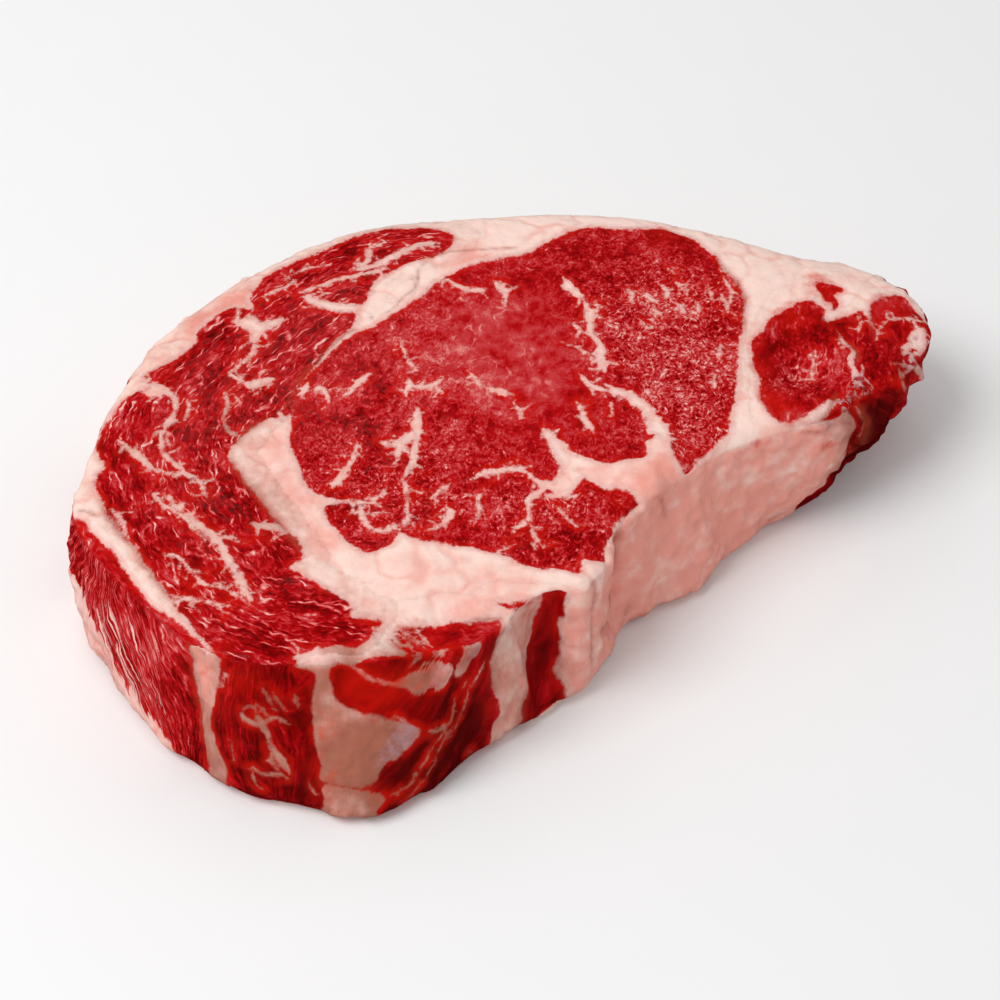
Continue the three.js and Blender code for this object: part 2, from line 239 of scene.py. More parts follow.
# Dark lines where two parts meet: x, y, width.
seams = [
    [(-63.5, -7.5, 0.5), (-60, -14, 0.5), (-55.5, -20.8, 0.6), (-50.5, -27.7, 0.7), (-46.6, -35, 0.7)],
    [(-62.5, -2.5, 0.7), (-59.5, 1.6, 0.7), (-56, 4.8, 0.5)],
    [(-51.5, 9, 0.3), (-48.5, 19, 0.5), (-43, 27.5, 0.6), (-39.5, 31.5, 0.6), (-36.5, 33.6, 0.4)],
    [(-22, 54, 0.4), (-22.6, 50.5, 0.5), (-24, 46.5, 0.4), (-27.5, 42, 0.4), (-31, 38.5, 0.3)],
    [(-21.5, 58, 0.3), (-18, 60, 0.5), (-12, 61.5, 0.4), (-5, 62.3, 0.3), (1, 62, 0.3)],
    [(50.3, 57.5, 0.3), (53.8, 50, 0.5), (55.4, 44, 0.5), (54, 34, 0.3)],
    [(-91.5, -19.5, 0.3), (-88, -25.5, 0.4), (-82.5, -33.5, 0.5), (-77.5, -41, 0.5), (-73, -48, 0.4)],
    [(-96, -21.5, 0.4), (-92.5, -22.8, 0.4), (-90.5, -23.5, 0.3)],
    [(-10, -53.6, 0.6), (-3, -52.4, 0.5)],
    [(38.7, -11, 0.4), (37.5, -15, 0.6), (36, -19, 0.6), (34.6, -22.5, 0.4)],
    [(85.2, 41, 0.4), (84.9, 37, 0.6), (85.6, 34, 0.5)],
    [(79, 31, 0.4), (80.6, 28, 0.6), (80.6, 25, 0.4)],
    [(74.5, 14.5, 0.5), (73.5, 11.5, 0.6), (70, 6, 0.5)],
]

# Soft spots of tone, paler above 0 and darker below: x, y, radius, amount.
# The eye's pale middle is partly painted sheen; the dark spots in the tail's hollow and end are painted
# shadow.
tonesAndPaintedLight = [
    (0, 30, 26, 0.5), (-16, 30, 18, 0.6), (-10, 12, 12, 0.3), (4, 14, 18, 0.3), (34, 42, 12, 0.35),
    (40, 24, 13, 0.45), (43, 6, 10, 0.35), (-30, -10, 22, -0.25), (20, 60, 16, -0.3), (42, 62, 12, -0.1),
    (63, 30.5, 4, -0.9), (68.5, 34.5, 4, -0.9), (74, 36.5, 3.5, -0.7), (67, 23, 7, 0.2),
    (75, 24, 4, -0.2), (86, 8, 10, -2.0), (89, 25, 7, -1.2), (73, 6, 3, -1.6), (78, 14, 3, -1.0),
    (78, 34, 4, -0.5), (60, 8, 5, 0.2), (-60, -18, 9, -0.35), (-55, -25, 8, -0.35), (-82, 8, 7, 0.2),
    (-66, 3, 9, -0.6), (8, -32, 10, -0.35), (88, 37, 5, -0.5), (-35, -60, 8, -0.3), (-34, -65, 5, -0.8),
    (-24, -64, 5, -1.0), (-22, -58, 4, -0.9), (-12, -57, 5, -0.8), (-4, -56, 3, 0.5), (-56, 10, 6, -0.3),
    (-45, -55, 8, 0.15), (93, 40, 6, -0.1), (-68, -60, 8, 0.1), (46, -3, 7, -0.3),
]

# Where the fine flecks crowd or thin out: x, y, radius, amount.
fleckSpots = [
    (36, 36, 18, 0.9), (43, 8, 14, 0.9), (10, -25, 14, 0.25), (-28, -15, 20, 0.35), (0, 32, 20, -0.5),
    (8, 10, 14, -0.3), (67, 22, 6, 0.4), (59, 26, 6, -0.35), (62, 9, 6, -0.35), (68, 38, 6, -0.1),
    (88, 42, 6, -0.4), (-15, -56, 8, -0.3), (5, -22, 12, 0.15),
]

# Hollows and swellings of the upper face, in mm: x, y, radius, height.
swellings = [
    (67, 23, 8.5, -3.2), (65, 33, 5, -1.4), (80, 30, 4, -0.6), (85, 33, 2.0, -1.2), (84, 18, 3, -1.0),
    (29, -13, 7, 1.0), (31, -15, 3, 0.8), (25, -11.5, 3, 0.7), (36.5, -20, 3, 0.8), (37, -16, 2.5, -0.9),
    (33, -4, 4, 0.6), (74, 45, 4, -0.5), (92, 40, 5, 0.6), (98, 37, 4, 0.8), (89, 14, 7, -1.0),
    (80, 12, 3, -1.2), (73, 3, 5, -1.2), (-16, -57, 6, -1.0), (-7, -57, 4, -0.8), (-30, -60, 3.2, 1.3),
    (-40, -63, 3, 0.5), (-46, -60, 8, -0.4), (-12, 58, 5, -0.3), (-28, 46, 6, 0.5), (-54, -10, 10, 0.4),
    (20, -14, 8, 0.3), (33, -6, 6, 0.5), (60, 52, 10, 0.5), (25, 60, 12, -0.4),
]

# Blush of the fat, pinker above 0, and its grey tissue: x, y, radius, amount.
blushes = [
    (-55, -5, 10, 0.6), (-48, -18, 8, 0.75), (-40, -30, 10, 0.6), (-20, -42, 14, 0.4), (35, -8, 9, 0.7),
    (20, -12, 6, 0.6), (29, -14, 8, 0.4), (28, -25, 12, 0.3), (56, 50, 12, 0.15), (54, 15, 8, 0.3),
    (60, 60, 14, 0.0), (-10, 60, 8, 0.75), (0, -44, 12, 0.45), (-64, 44, 8, 1.1), (-73, 38, 8, 1.1),
    (-82, 27, 8, 0.5), (80, 52, 10, 0.15), (-26, 48, 5, 0.2), (48, -10, 9, 0.7), (-5, -57, 4, 0.3),
    (38, -22, 12, 0.7), (62, 0, 9, 0.7), (25, -40, 10, 0.6), (-8, -53, 7, 0.6), (72, -4, 8, 0.5),
    (10, -56, 8, 0.4),
]
greySpots = [
    (-62, 1, 2.2, 0.5), (-46, -41, 4, 0.25), (-38, -47, 4, 0.3), (-24, 52, 3, 0.1), (-29, 43, 2.5, 0.3),
    (75.5, 4, 3.5, 1.0), (77.5, 11, 4, 1.2), (-33, 38, 2, 0.4), (79, 16, 4, 1.0), (93, 27, 3, 1.1),
    (95, 34, 3, 0.5), (82, 18, 3, 0.8), (70, 3, 4, 0.8), (74, 0, 3, 0.6), (-52, -12, 12, 0.1),
    (-21, 56, 2.5, 0.3), (-23, 51, 2.0, 0.3),
]

# Way that the fibres run, for each muscle.
fibreLines = {
    "eye": [(-8, -45), (-3, -20), (0, 10), (6, 40), (16, 75)],
    "cap": [(-8, 66), (-18, 67), (-35, 63), (-52, 52), (-66, 36), (-76, 18), (-80, 0), (-76, -20), (-68, -38),
            (-56, -52), (-38, -57), (-24, -58)],
    "outer": [(-104, -10), (-96, -28), (-84, -46), (-66, -64), (-56, -76)],
    "knob": [(-30, -57), (0, -56)],
    "frontLip": [(-60, -70), (0, -66)],
    "tailHeart": [(60, 0), (67, 24), (70, 50)],
    "tailMiddle": [(80, 15), (80, 45)],
    "tailEnd": [(76, -12), (90, 14), (92, 30), (90, 50)],
    "tailFold": [(64, 2), (76, 10)],
    "redSpot": [(72, 40), (76, 52)],
    "frontSpot": [(-6, -50), (10, -48)],
}

# How much longer than wide the flecks are along the fibres.
fibreStretch = {
    "eye": 1.35, "cap": 3.6, "outer": 5.0, "knob": 2.5, "frontLip": 2.5, "tailHeart": 2.2, "tailMiddle": 2.5,
    "tailEnd": 3.0, "tailFold": 2.0, "redSpot": 2.0, "frontSpot": 2.5, "side": 5.0,
}

# Blood-red and orange stains in the fat of the upper face: x, y, radius, amount.
stains = [
    (55, -1, 2.5, 0.8), (71, -2, 2.5, 0.5), (74, 53, 4, 0.5), (70, 52, 3, 0.4), (76, 44, 3, 0.5),
    (-49.5, -31, 2, 0.5), (-28, 50, 1.5, 0.3), (-8, 60.5, 5, 0.3), (36, 71.5, 4, 0.5),
    (-84, 15.5, 2, 0.6), (-1, -49, 3, 0.4), (57, 30, 3, 0.7), (57.5, 22, 4, 0.9), (59, 12, 5, 0.9),
    (63, 7, 4, 0.9), (66, 40, 6, 0.8), (90, 45, 6, 0.8), (80, 39, 4, 0.5), (75, 48, 4, 0.7),
    (-96, -28, 5, 0.9), (-18, 68, 5, 0.7), (38, 68, 6, 0.4), (13, -12, 4, 0.4), (40, -6, 5, 0.5),
    (47, 2, 4, 0.3), (24, -20, 4, 0.5), (-22, -56, 5, 0.6), (-82, 22, 6, 0.4), (-62, -62, 5, 0.5),
    (-14, 66, 2, 0.4),
]

# The side, in (s, z).
sideMuscles = {
    "capEdge": [(-9, 42), (14, 42), (13, 30), (12, 18), (13, 6), (15, -4), (-9, -4), (-6, 15)],
    "front": [
        (38, 42), (36, 34), (30, 27), (24, 19), (19.5, 8), (18, -4), (159, -4), (160, 1), (162, 8),
        (164, 12), (161.5, 18), (160, 25), (161, 30), (163, 36), (163, 42)],
    "redStrip": [
        (178, 42), (177, 31), (175.5, 26), (173.5, 20), (172, 14), (170.5, 9), (170, 4), (168.5, -4),
        (182, -4), (182, 5), (180.5, 10), (181, 16), (180.5, 23), (181.7, 29), (181, 42)],
    "tail": [
        (276, 42), (275, 30), (275.5, 26), (273, 21), (273, 16), (271, 11), (268, 4), (267, -4),
        (329, -4), (332, 10), (330, 24), (328, 42)],
}
sideFat = [
    [(88, 42), (87, 34), (88.8, 27), (91, 20), (93.4, 14), (95.5, 9), (97, 4), (97, -4), (103, -4),
     (102, 4), (101, 8), (98.6, 11.5), (96.6, 15), (95, 19), (95.6, 26), (95.5, 33), (96, 42)],
    [(108, 42), (109.5, 34.2), (111.5, 32.6), (115, 31), (115.4, 28), (116.7, 24), (118.5, 20),
     (120.5, 16), (121.8, 12.5), (122.5, 10.2), (128, 10.2), (134, 10.7), (135.2, 13.3), (138, 14.2),
     (140.5, 15.8), (142.4, 17.8), (141, 19.6), (137.5, 21), (133, 22.5), (130, 23.8), (124.5, 24.8),
     (121.5, 26.3), (119, 29.4), (117.8, 32), (119.5, 33.8), (121, 34.4), (121, 42)],
    [(123.5, 9.2), (127, 10), (132, 9.6), (135, 8), (137.4, 6), (135.5, 4.2), (134, -4), (122, -4),
     (123.5, 4)],
    [(132.5, 28.6), (136, 29.4), (140, 30.2), (144, 30.3), (147.5, 29.3), (148.6, 27.5), (146.8, 25.6),
     (144.5, 25.6), (141.5, 26.2), (138.5, 25.8), (136.5, 27.3)],
    [(151, 30.5), (152.3, 33), (155, 33.5), (156.4, 32.3), (156, 30), (153.8, 28.8), (151.5, 26.4),
     (149.6, 28)],
    [(86, 4), (86, -4), (33, -4), (33, 6), (36, 13), (41, 18.5), (47, 19.5), (52, 17), (58, 13.5),
     (66, 9.5), (74, 7), (82, 6)],
]
sideVeins = [
    [(102.3, 23.4, 0.5), (103.4, 24.5, 0.6), (104.7, 24.2, 0.6), (105.6, 22.8, 0.7), (107, 21.2, 0.9),
     (109, 18.6, 0.9), (110.5, 16, 1.1), (112.2, 14.2, 1.7), (113.6, 12.6, 1.9), (115.2, 10.4, 1.2)],
    [(102.3, 23.4, 0.6), (103, 21.9, 0.9), (105, 21, 1.0), (107, 20.9, 0.8), (109, 21.8, 0.5),
     (111, 22, 0.6), (113.3, 21.2, 0.5)],
    [(106, 10.3, 0.6), (108, 10.5, 0.8), (110, 9.7, 0.7), (113, 9.9, 0.7), (115.4, 9, 0.6)],
    [(107.5, 10, 0.8), (107.6, 8.3, 1.0), (109, 6.6, 0.7), (110.5, 6, 0.5)],
    [(110.5, 15.2, 0.5), (111, 13, 0.8), (112.5, 11, 0.7)],
    [(104.8, 29, 0.3), (107.5, 26, 0.35), (110, 23.5, 0.3)],
    [(107, 28, 0.3), (110, 25.5, 0.3), (112, 23.8, 0.3)],
    [(111.8, 27.6, 0.5), (113, 26, 0.4), (113.9, 25, 0.3)],
    [(105, 25, 0.3), (107, 23.5, 0.35), (108.6, 22, 0.3)],
    [(101, 16, 0.3), (102, 13, 0.35), (102.6, 11, 0.3)],
    [(96.5, 29, 1.1), (97.6, 30.6, 1)],
    [(96.4, 26.4, 0.9), (96.8, 28.2, 0.7)],
    [(121, 33.4, 0.3), (125, 31.1, 0.5), (128, 29.9, 0.5), (131, 29, 0.8), (133.5, 28.5, 0.8)],
    [(136, 31, 0.3), (137.4, 31.9, 0.5), (138.7, 32.7, 0.4)],
    [(139, 30.7, 0.3), (141, 31.3, 0.4), (143.5, 30.8, 0.3)],
    [(142, 32.6, 0.3), (145, 32.3, 0.3)],
    [(151.3, 16.3, 0.3), (152.6, 18.3, 0.45), (154, 20.3, 0.4)],
    [(155.2, 22.5, 0.3), (156.4, 24.4, 0.6), (158.4, 26.7, 0.5)],
    [(152.8, 23, 0.3), (153.8, 24.4, 0.3)],
    [(138.2, 6.6, 0.3), (141.6, 7, 0.5), (143, 9.3, 0.5), (144.5, 11.6, 0.7), (146.5, 13.6, 0.5),
     (148.3, 16, 0.7), (150, 18.6, 0.4), (150.2, 22, 0.3)],
    [(144, 17.8, 0.4), (146, 16.7, 0.8), (148, 16.9, 0.8), (149, 15, 0.4)],
    [(145, 7.5, 0.3), (147, 11.8, 0.35)],
    [(135.3, 22.3, 0.3), (137.4, 21.4, 0.5), (139, 20.3, 0.4)],
    [(119.8, 9.6, 0.4), (121, 7.4, 0.7), (122.3, 6.6, 0.4)],
    [(155, 6, 0.3), (156.4, 3, 0.4)],
    [(276.5, 32, 0.4), (278.4, 26, 0.5), (278.6, 20, 0.4)],
    [(274, 22, 0.3), (277.5, 16, 0.5), (281, 12, 0.3)],
    [(292.5, 32, 0.8), (291.4, 29, 0.9), (292.6, 26, 0.5)],
    [(296, 32, 1.6), (300, 26, 2), (303, 20, 1)],
    [(288, 12, 0.3), (293, 20, 0.4), (298, 24, 0.3)],
    [(149.5, 13.5, 0.3), (151.8, 17, 0.45), (153.4, 20.5, 0.35), (155, 23.6, 0.3)],
    [(146.5, 9.5, 0.3), (148.6, 13, 0.4), (150, 16, 0.3)],
    [(141, 3.5, 0.3), (143.5, 5.5, 0.5), (145.6, 8.6, 0.4), (147.2, 11.6, 0.3)],
]
sideSeams = [
    [(188.8, 34, 0.4), (189.6, 27, 0.4), (188.8, 19, 0.4), (189.4, 12, 0.4), (190, 7, 0.3)],
    [(206, 34, 0.3), (207.3, 30.5, 0.6), (206.6, 27, 0.4), (206.5, 19, 0.3)],
    [(205.8, 15, 0.4), (204.9, 12.5, 0.8), (203.9, 9.8, 0.4)],
    [(193.8, 15, 0.3), (195.5, 12.6, 0.7), (198, 11, 0.8), (201.6, 10.4, 0.6), (202.3, 8.2, 0.4)],
    [(207, 5, 0.6), (209.5, 7.2, 0.5), (210, 8.2, 0.3)],
    [(212.5, 4.4, 0.5), (214.5, 2.6, 0.6)],
    [(170.5, 12, 1.0), (170.2, 7, 1.1), (169.4, 2, 1.0)],
    [(86.6, 35, 0.8), (89.2, 27, 1.0), (91.6, 19, 0.9), (94.3, 11, 0.8)],
    [(122.5, 10, 0.4), (128, 10.3, 0.3), (134, 10.4, 0.4)],
    [(162.8, 33, 0.4), (160.5, 27, 0.4), (161, 20, 0.4)],
    [(221, 33, 0.2), (222.5, 30, 0.3), (223, 26, 0.2)],
    [(172, 22.5, 0.2), (173.5, 25, 0.3), (176, 30, 0.3)],
    [(257, 3, 0.4), (262, 4, 0.4)],
    [(262, 33, 0.3), (266, 30.4, 0.5), (271, 30.8, 0.4), (274.6, 28, 0.4)],
    [(278, 32, 1), (280, 22, 1.4), (283, 10, 1.2)],
    [(306, 33, 1), (309, 22, 1.2), (312, 10, 1)],
]
# Tone spots of the side, s, z, radius, amount; many dark ones are painted shade, as under the front lip.
sideTonesAndShade = [
    (153, 13, 9, -1.2), (143, 9, 8, -1.0), (128, 29, 7, 0.75), (146, 32, 6, 0.6), (134, 32.5, 5, -1.3),
    (141, 33, 4, -1.0), (161, 14, 4, 0.5), (30, 5, 10, 0.2), (30, 26, 9, 0.6), (70, 24, 12, 0.35),
    (108, 28, 5, -0.5), (177, 10, 8, -0.4), (178, 30, 5, 0.5), (283, 24, 8, -1.2), (282, 12, 10, -1.3),
    (85, 28, 4, -0.6), (288, 15, 14, -0.4), (90, 8, 6, -0.4), (113, 3, 8, -0.3), (130, 17, 10, -0.7),
    (140, 3, 8, -0.4), (152, 4, 8, -0.4), (141, 28, 6, -0.55), (153, 30.5, 4, -0.6), (117, 28, 4, -0.2),
    (127, 5, 5, 0.1), (172, 18, 8, -0.1), (99, 30, 4, 0.7), (91, 26, 6, 0.5), (119, 12, 3, -0.3),
]
sideStreaks = [
    (52, 14, 14, 0.6), (68, 5, 14, 0.7), (40, 12, 9, 0.6), (66, 22, 10, 0.6), (82, 16, 6, 0.4),
    (132, 6, 4, 0.5), (143, 28, 6, 0.3), (152, 29, 4, 0.2), (288, 20, 12, 0.1),
]

# Blush of the side's fat, paler below 0, its stains and its grey tissue: s, z, radius, amount.
sideBlushes = [
    (232, 30, 7, 0.1), (244, 26, 5, -0.3), (222, 12, 6, -0.4), (258, 20, 7, -0.3), (240, 10, 6, 0.3),
    (202, 24, 4, -0.35), (165, 30, 6, -0.25), (221, 32, 5, 0.4), (52, 20, 10, -0.3), (98, 12, 5, -0.2),
    (91, 28, 8, 0.5), (186, 20, 5, -0.15), (118, 26, 4, -0.2), (130, 6, 5, -0.3), (256, 26, 5, -0.2),
    (225, 8, 6, 0.3), (141, 28, 7, 0.7), (153, 30, 5, 0.6),
]
sideStains = [
    (252, 32, 2.4, 0.8), (208, 31, 1.8, 0.7), (267, 26, 3.2, 0.8), (257, 33, 4, 0.35),
    (205, 12.5, 1.4, 0.6), (91, 29, 7, 0.45), (179, 33, 4, 0.9), (173, 33, 3, 0.9), (236, 31.5, 4, 0.25),
    (221, 32, 5, 0.3), (114, 33, 4, 0.45), (117.5, 24, 3, 0.4), (120, 13, 3, 0.5), (125, 11, 3, 0.5),
    (135, 8, 3, 0.6), (124, 6, 3, 0.5), (152, 31.5, 2.5, 0.25), (161.5, 20, 2, 0.4), (124, 30, 6, 0.9),
    (131, 26.5, 5, 0.7), (146, 32, 6, 0.5), (161, 14, 4, 0.6), (101, 30, 5, 0.6), (30, 28, 8, 0.7),
    (141, 28, 7, 0.35), (134, 29, 4, 0.5), (153, 30, 4, 0.3), (129, 16, 11, 0.12), (121, 20, 4, 0.4),
    (98, 22, 4, 0.4), (60, 6, 12, 0.5), (46, 3, 8, 0.3), (80, 6, 8, 0.4), (214, 4, 4, 0.4),
    (236, 8, 5, 0.2), (171, 3, 3, 0.2),
]
sideTissue = [
    (269, 31, 4, 0.4), (272, 26, 4, 0.3), (140, 18, 5, 0.8), (136, 15, 4, 0.4), (154, 31, 4, 0.5),
    (143, 28, 6, 0.3), (171, 26, 4, 0.25), (70, 8, 8, 0.2), (99, 7, 3, 0.3),
]

# How veins and seams are drawn, in mm.
veinShape = {
    "reach": 4.0,         # the field is worked out this far from each line
    "taper": 2.0,         # lines narrow over this length at each end
    "endWidth": 0.4,      # to this share of their width
    "unevenness": 0.7,    # how much their width comes and goes
}

# Noise on the skin: amount, size in mm, shift.
skinNoise = {
    "wander": [(0.8, 6.0, 3.1), (0.35, 2.2, 8.7)],    # mm by which the drawn shapes wander
    "width": [(1.0, 1.7, 5.5), (0.6, 6.0, 1.5)],      # how the veins' widths come and go
    "rough": [(1.0, 5.0, 20.5), (0.5, 2.2, 30.5)],    # unevenness of the side
}

# How uneven the side is, in mm, at places round it.
edgeRough = {
    "s": [0, 25, 60, 95, 118, 150, 180, 205, 240, 272, 285, 330, 380, 450, 520, 552],
    "amount": [0.7, 0.9, 0.6, 0.4, 0.5, 0.7, 0.6, 1.1, 0.9, 0.9, 1.4, 1.6, 1.7, 1.3, 1.5, 0.7],
}

# How round the upper edge is, from 0 to 1, at places round the side.
softEdge = {
    "rounds": 70,
    "pull": 0.6,
    "s": [0, 25, 50, 90, 110, 130, 165, 185, 205, 225, 268, 285, 340, 400, 500, 552],
    "amount": [0.4, 0.3, 0.5, 0.25, 0.3, 0.1, 0.15, 0.25, 0.5, 1.0, 1.0, 0.5, 0.6, 0.8, 0.7, 0.4],
}

# What changes slowly round the side: s and amount. The slope is that of its fibres.
sideSteps = {
    # the fall of tone is painted shade, darkening the front and the tail's side
    "toneAndPaintedLight": [(84, 0), (96, -1.0), (118, -0.9), (160, -0.6), (168, -0.45), (174, -0.6), (181, -0.5), (185, 0),
             (267, 0), (273, -0.7), (300, -0.5), (340, -0.1)],
    "flecks": [(0, 0.6), (20, 0.7), (90, 0.6), (97, 0.5), (116, 0.4), (122, 0), (160, 0), (270, 0.1),
               (290, 0.3)],
    "blush": [(0, 0.5), (12, 0.35), (33, 0.45), (90, 0.7), (150, 0.8), (160, 0.55), (178, 0.8), (205, 1.0)],
    "slope": [(0, 0.5), (20, 0.7), (40, 0.7), (52, 0), (62, -1.0), (80, -0.9), (90, -0.4), (96, 0),
              (112, -0.7), (118, 0), (130, 1.2), (148, 0.7), (162, 0.2), (205, 0.3), (275, -0.6),
              (300, -0.8)],
}


def linearColour(hexText):
    # sRGB hex to the linear colour that a shader takes
    parts = [int(hexText[i:i + 2], 16) / 255 for i in (1, 3, 5)]
    return tuple(c / 12.92 if c <= 0.04045 else ((c + 0.055) / 1.055) ** 2.4 for c in parts) + (1.0,)


def softStep(low, high, value):
    t = np.clip((value - low) / (high - low), 0, 1)
    return t * t * (3 - 2 * t)


def smoothLine(points, closed=False, steps=5):
    # a curve through the points; further columns, such as a width, follow along
    p = np.array(points, dtype=float)
    count = len(p)
    t = (np.arange(steps) / steps)[:, None]
    pieces = []
    for i in range(count if closed else count - 1):
        if closed:
            a, b, c, d = p[i - 1], p[i], p[(i + 1) % count], p[(i + 2) % count]
        else:
            a, b, c, d = p[max(i - 1, 0)], p[i], p[i + 1], p[min(i + 2, count - 1)]
        pieces.append(0.5 * (2 * b + (c - a) * t + (2 * a - 5 * b + 4 * c - d) * t ** 2
                             + (3 * b - a - 3 * c + d) * t ** 3))
    pieces.append(p[:1] if closed else p[-1:])
    return np.concatenate(pieces)


def alongLine(line, places):
    # for each place: distance to the line, length along it, side of it, the line's width there
    start = line[:-1, :2]
    step = line[1:, :2] - start
    lengths = np.maximum(np.hypot(step[:, 0], step[:, 1]), 1e-6)
    before = np.concatenate([[0], np.cumsum(lengths)[:-1]])
    widths = line[:, 2] if line.shape[1] > 2 else np.zeros(len(line))
    found = np.empty((4, len(places)))
    atOnce = 20000    # places in one go, to spare memory
    for first in range(0, len(places), atOnce):
        block = places[first:first + atOnce]
        dx = block[:, None, 0] - start[None, :, 0]
        dy = block[:, None, 1] - start[None, :, 1]
        t = np.clip((dx * step[:, 0] + dy * step[:, 1]) / lengths ** 2, 0, 1)
        gap = (dx - t * step[:, 0]) ** 2 + (dy - t * step[:, 1]) ** 2
        best = np.argmin(gap, axis=1)
        rows = np.arange(len(block))
        t = t[rows, best]
        found[:, first:first + len(block)] = (
            np.sqrt(gap[rows, best]),
            before[best] + t * lengths[best],
            np.sign(step[best, 0] * dy[rows, best] - step[best, 1] * dx[rows, best]),
            widths[best] * (1 - t) + widths[best + 1] * t)
    return found


def closeTo(line, places, reach):
    # which places lie in the line's box, grown by the reach
    low = line[:, :2].min(axis=0) - reach
    high = line[:, :2].max(axis=0) + reach
    return np.nonzero(((places > low) & (places < high)).all(axis=1))[0]


def outlineDistance(points, places, reach=6.0):
    # below 0 inside the outline, above 0 outside it, in mm
    line = smoothLine(points, closed=True)
    result = np.full(len(places), reach)
    near = closeTo(line, places, reach)
    if len(near) == 0:
        return result
    block = places[near]
    away = alongLine(line, block)[0]
    inside = np.zeros(len(block), dtype=bool)
    for a, b in zip(line[:-1], line[1:]):
        if a[1] == b[1]:
            continue
        crosses = (a[1] > block[:, 1]) != (b[1] > block[:, 1])
        at = a[0] + (block[:, 1] - a[1]) * (b[0] - a[0]) / (b[1] - a[1])
        inside ^= crosses & (block[:, 0] < at)
    result[near] = np.minimum(np.where(inside, -away, away), reach)
    return result


def drawLines(lineSets, places, widthNoise):
    # half the line's width on each line, falling by 1 for each mm away; never below -3
    field = np.full(len(places), -3.0)
    for points in itertools.chain(*lineSets):
        line = smoothLine(points)
        near = closeTo(line, places, veinShape["reach"])
        if len(near) == 0:
            continue
        away, along, _, width = alongLine(line, places[near])
        fromEnd = np.minimum(along, along.max() - along)
        endWidth = veinShape["endWidth"]
        width = width * (endWidth + (1 - endWidth) * softStep(0, veinShape["taper"], fromEnd))
        half = 0.5 * width * (1 + veinShape["unevenness"] * widthNoise[near])
        field[near] = np.maximum(field[near], half - away)
    return field


def growSpurs(lines, seed, every, reach):
    # short side branches that leave each vein at a slant
    dice = np.random.default_rng(seed)
    spurs = []
    for points in lines:
        line = smoothLine(points)
        steps = np.diff(line[:, :2], axis=0)
        lengths = np.cumsum(np.hypot(steps[:, 0], steps[:, 1]))
        at = dice.uniform(0.3, every)
        while at < lengths[-1]:
            i = int(np.searchsorted(lengths, at))
            way = math.atan2(steps[i, 1], steps[i, 0])
            way += dice.choice((-1, 1)) * math.radians(dice.uniform(35, 80))
            bend = dice.uniform(-0.5, 0.5)
            long = reach * dice.uniform(0.4, 1.2)
            width = min(line[i, 2], 1.8)
            x, y = line[i, :2]
            middle = (x + 0.5 * long * math.cos(way), y + 0.5 * long * math.sin(way), 0.45 * width)
            end = (x + long * math.cos(way + bend), y + long * math.sin(way + bend), 0.3 * width)
            spurs.append([(x, y, 0.8 * width), middle, end])
            at += every * dice.uniform(0.5, 1.6)
    return spurs


def addSpots(spots, places):
    total = np.zeros(len(places))
    for x, y, radius, amount in spots:
        away = np.hypot(places[:, 0] - x, places[:, 1] - y) / radius
        total += amount * np.exp(-1.5 * away ** 2)
    return total


def noiseAt(places, size, shift):
    # smooth noise about 0 for each place, with lumps of the given size in mm
    return np.array([noise.noise(Vector((x / size + shift, y / size, z / size))) for x, y, z in places])


def noiseVectors(places, size, shift):
    return np.array([noise.noise_vector(Vector((x / size + shift, y / size, z / size)))[:]
                     for x, y, z in places])


def evaluatedMesh(thing):
    # the object's mesh with its modifiers made real; the object goes
    bpy.context.view_layer.update()
    depsgraph = bpy.context.evaluated_depsgraph_get()
    result = bpy.data.meshes.new_from_object(thing.evaluated_get(depsgraph))
    mesh = thing.data
    thing.modifiers.clear()
    bpy.data.objects.remove(thing)
    bpy.data.meshes.remove(mesh)
    return result


def looseObject(name, data):
    thing = bpy.data.objects.new(name, data)
    scene.collection.objects.link(thing)
    return thing


def weldedCopy(node):
    mesh = node.data.copy()
    work = bmesh.new()
    work.from_mesh(mesh)
    bmesh.ops.remove_doubles(work, verts=work.verts, dist=1e-6)
    work.to_mesh(mesh)
    work.free()
    return mesh


def makeSkin(mesh):
    # an even skin over the CAD solid, fine enough to carry the marbling
    thing = looseObject("skinWork", mesh)
    remesh = thing.modifiers.new("skin", "REMESH")
    remesh.mode = "VOXEL"
    remesh.voxel_size = steakShape["voxel"] * mm
    return evaluatedMesh(thing)


def readTable(collection, name):
    # one vector for each vertex or face
    table = np.empty(len(collection) * 3, dtype=np.float32)
    collection.foreach_get(name, table)
    return table.reshape(-1, 3)


def pointTable(mesh):
    return readTable(mesh.vertices, "co").astype(float)


def placePoints(mesh, points):
    mesh.vertices.foreach_set("co", points.astype(np.float32).ravel())
    mesh.update()


def giveField(mesh, name, values):
    kind, entry = ("FLOAT_VECTOR", "vector") if np.ndim(values) == 2 else ("FLOAT", "value")
    layer = mesh.attributes.new(name, kind, "POINT")
    layer.data.foreach_set(entry, np.ascontiguousarray(values, dtype=np.float32).ravel())


def outlineAt(solid, height, bearings):
    # radius of the steak about its middle at one height, for each bearing
    centre = Vector((*steakShape["middle"], height)) * mm
    reach = 200 * mm    # starts well outside the steak
    radii = []
    for bearing in bearings:
        way = Vector((math.cos(bearing), math.sin(bearing), 0))
        hit = solid.ray_cast(centre + way * reach, -way)[0]
        radii.append((hit - centre).length / mm if hit else 0)
    return np.array(radii)


def mapSide(mesh):
    # for each degree of bearing: s, the length round the waist, and the radius near the top and the foot
    solid = BVHTree.FromPolygons([v.co for v in mesh.vertices], [p.vertices[:] for p in mesh.polygons])
    bearings = np.radians(np.arange(-180, 181, 1.0))
    waist = outlineAt(solid, steakShape["waist"], bearings)
    steps = np.hypot(np.diff(waist * np.cos(bearings)), np.diff(waist * np.sin(bearings)))
    lengths = np.concatenate([[0], np.cumsum(steps)])
    return {"bearing": bearings, "s": lengths, "girth": lengths[-1],
            "top": outlineAt(solid, steakShape["topHeight"], bearings),
            "foot": outlineAt(solid, steakShape["footHeight"], bearings)}


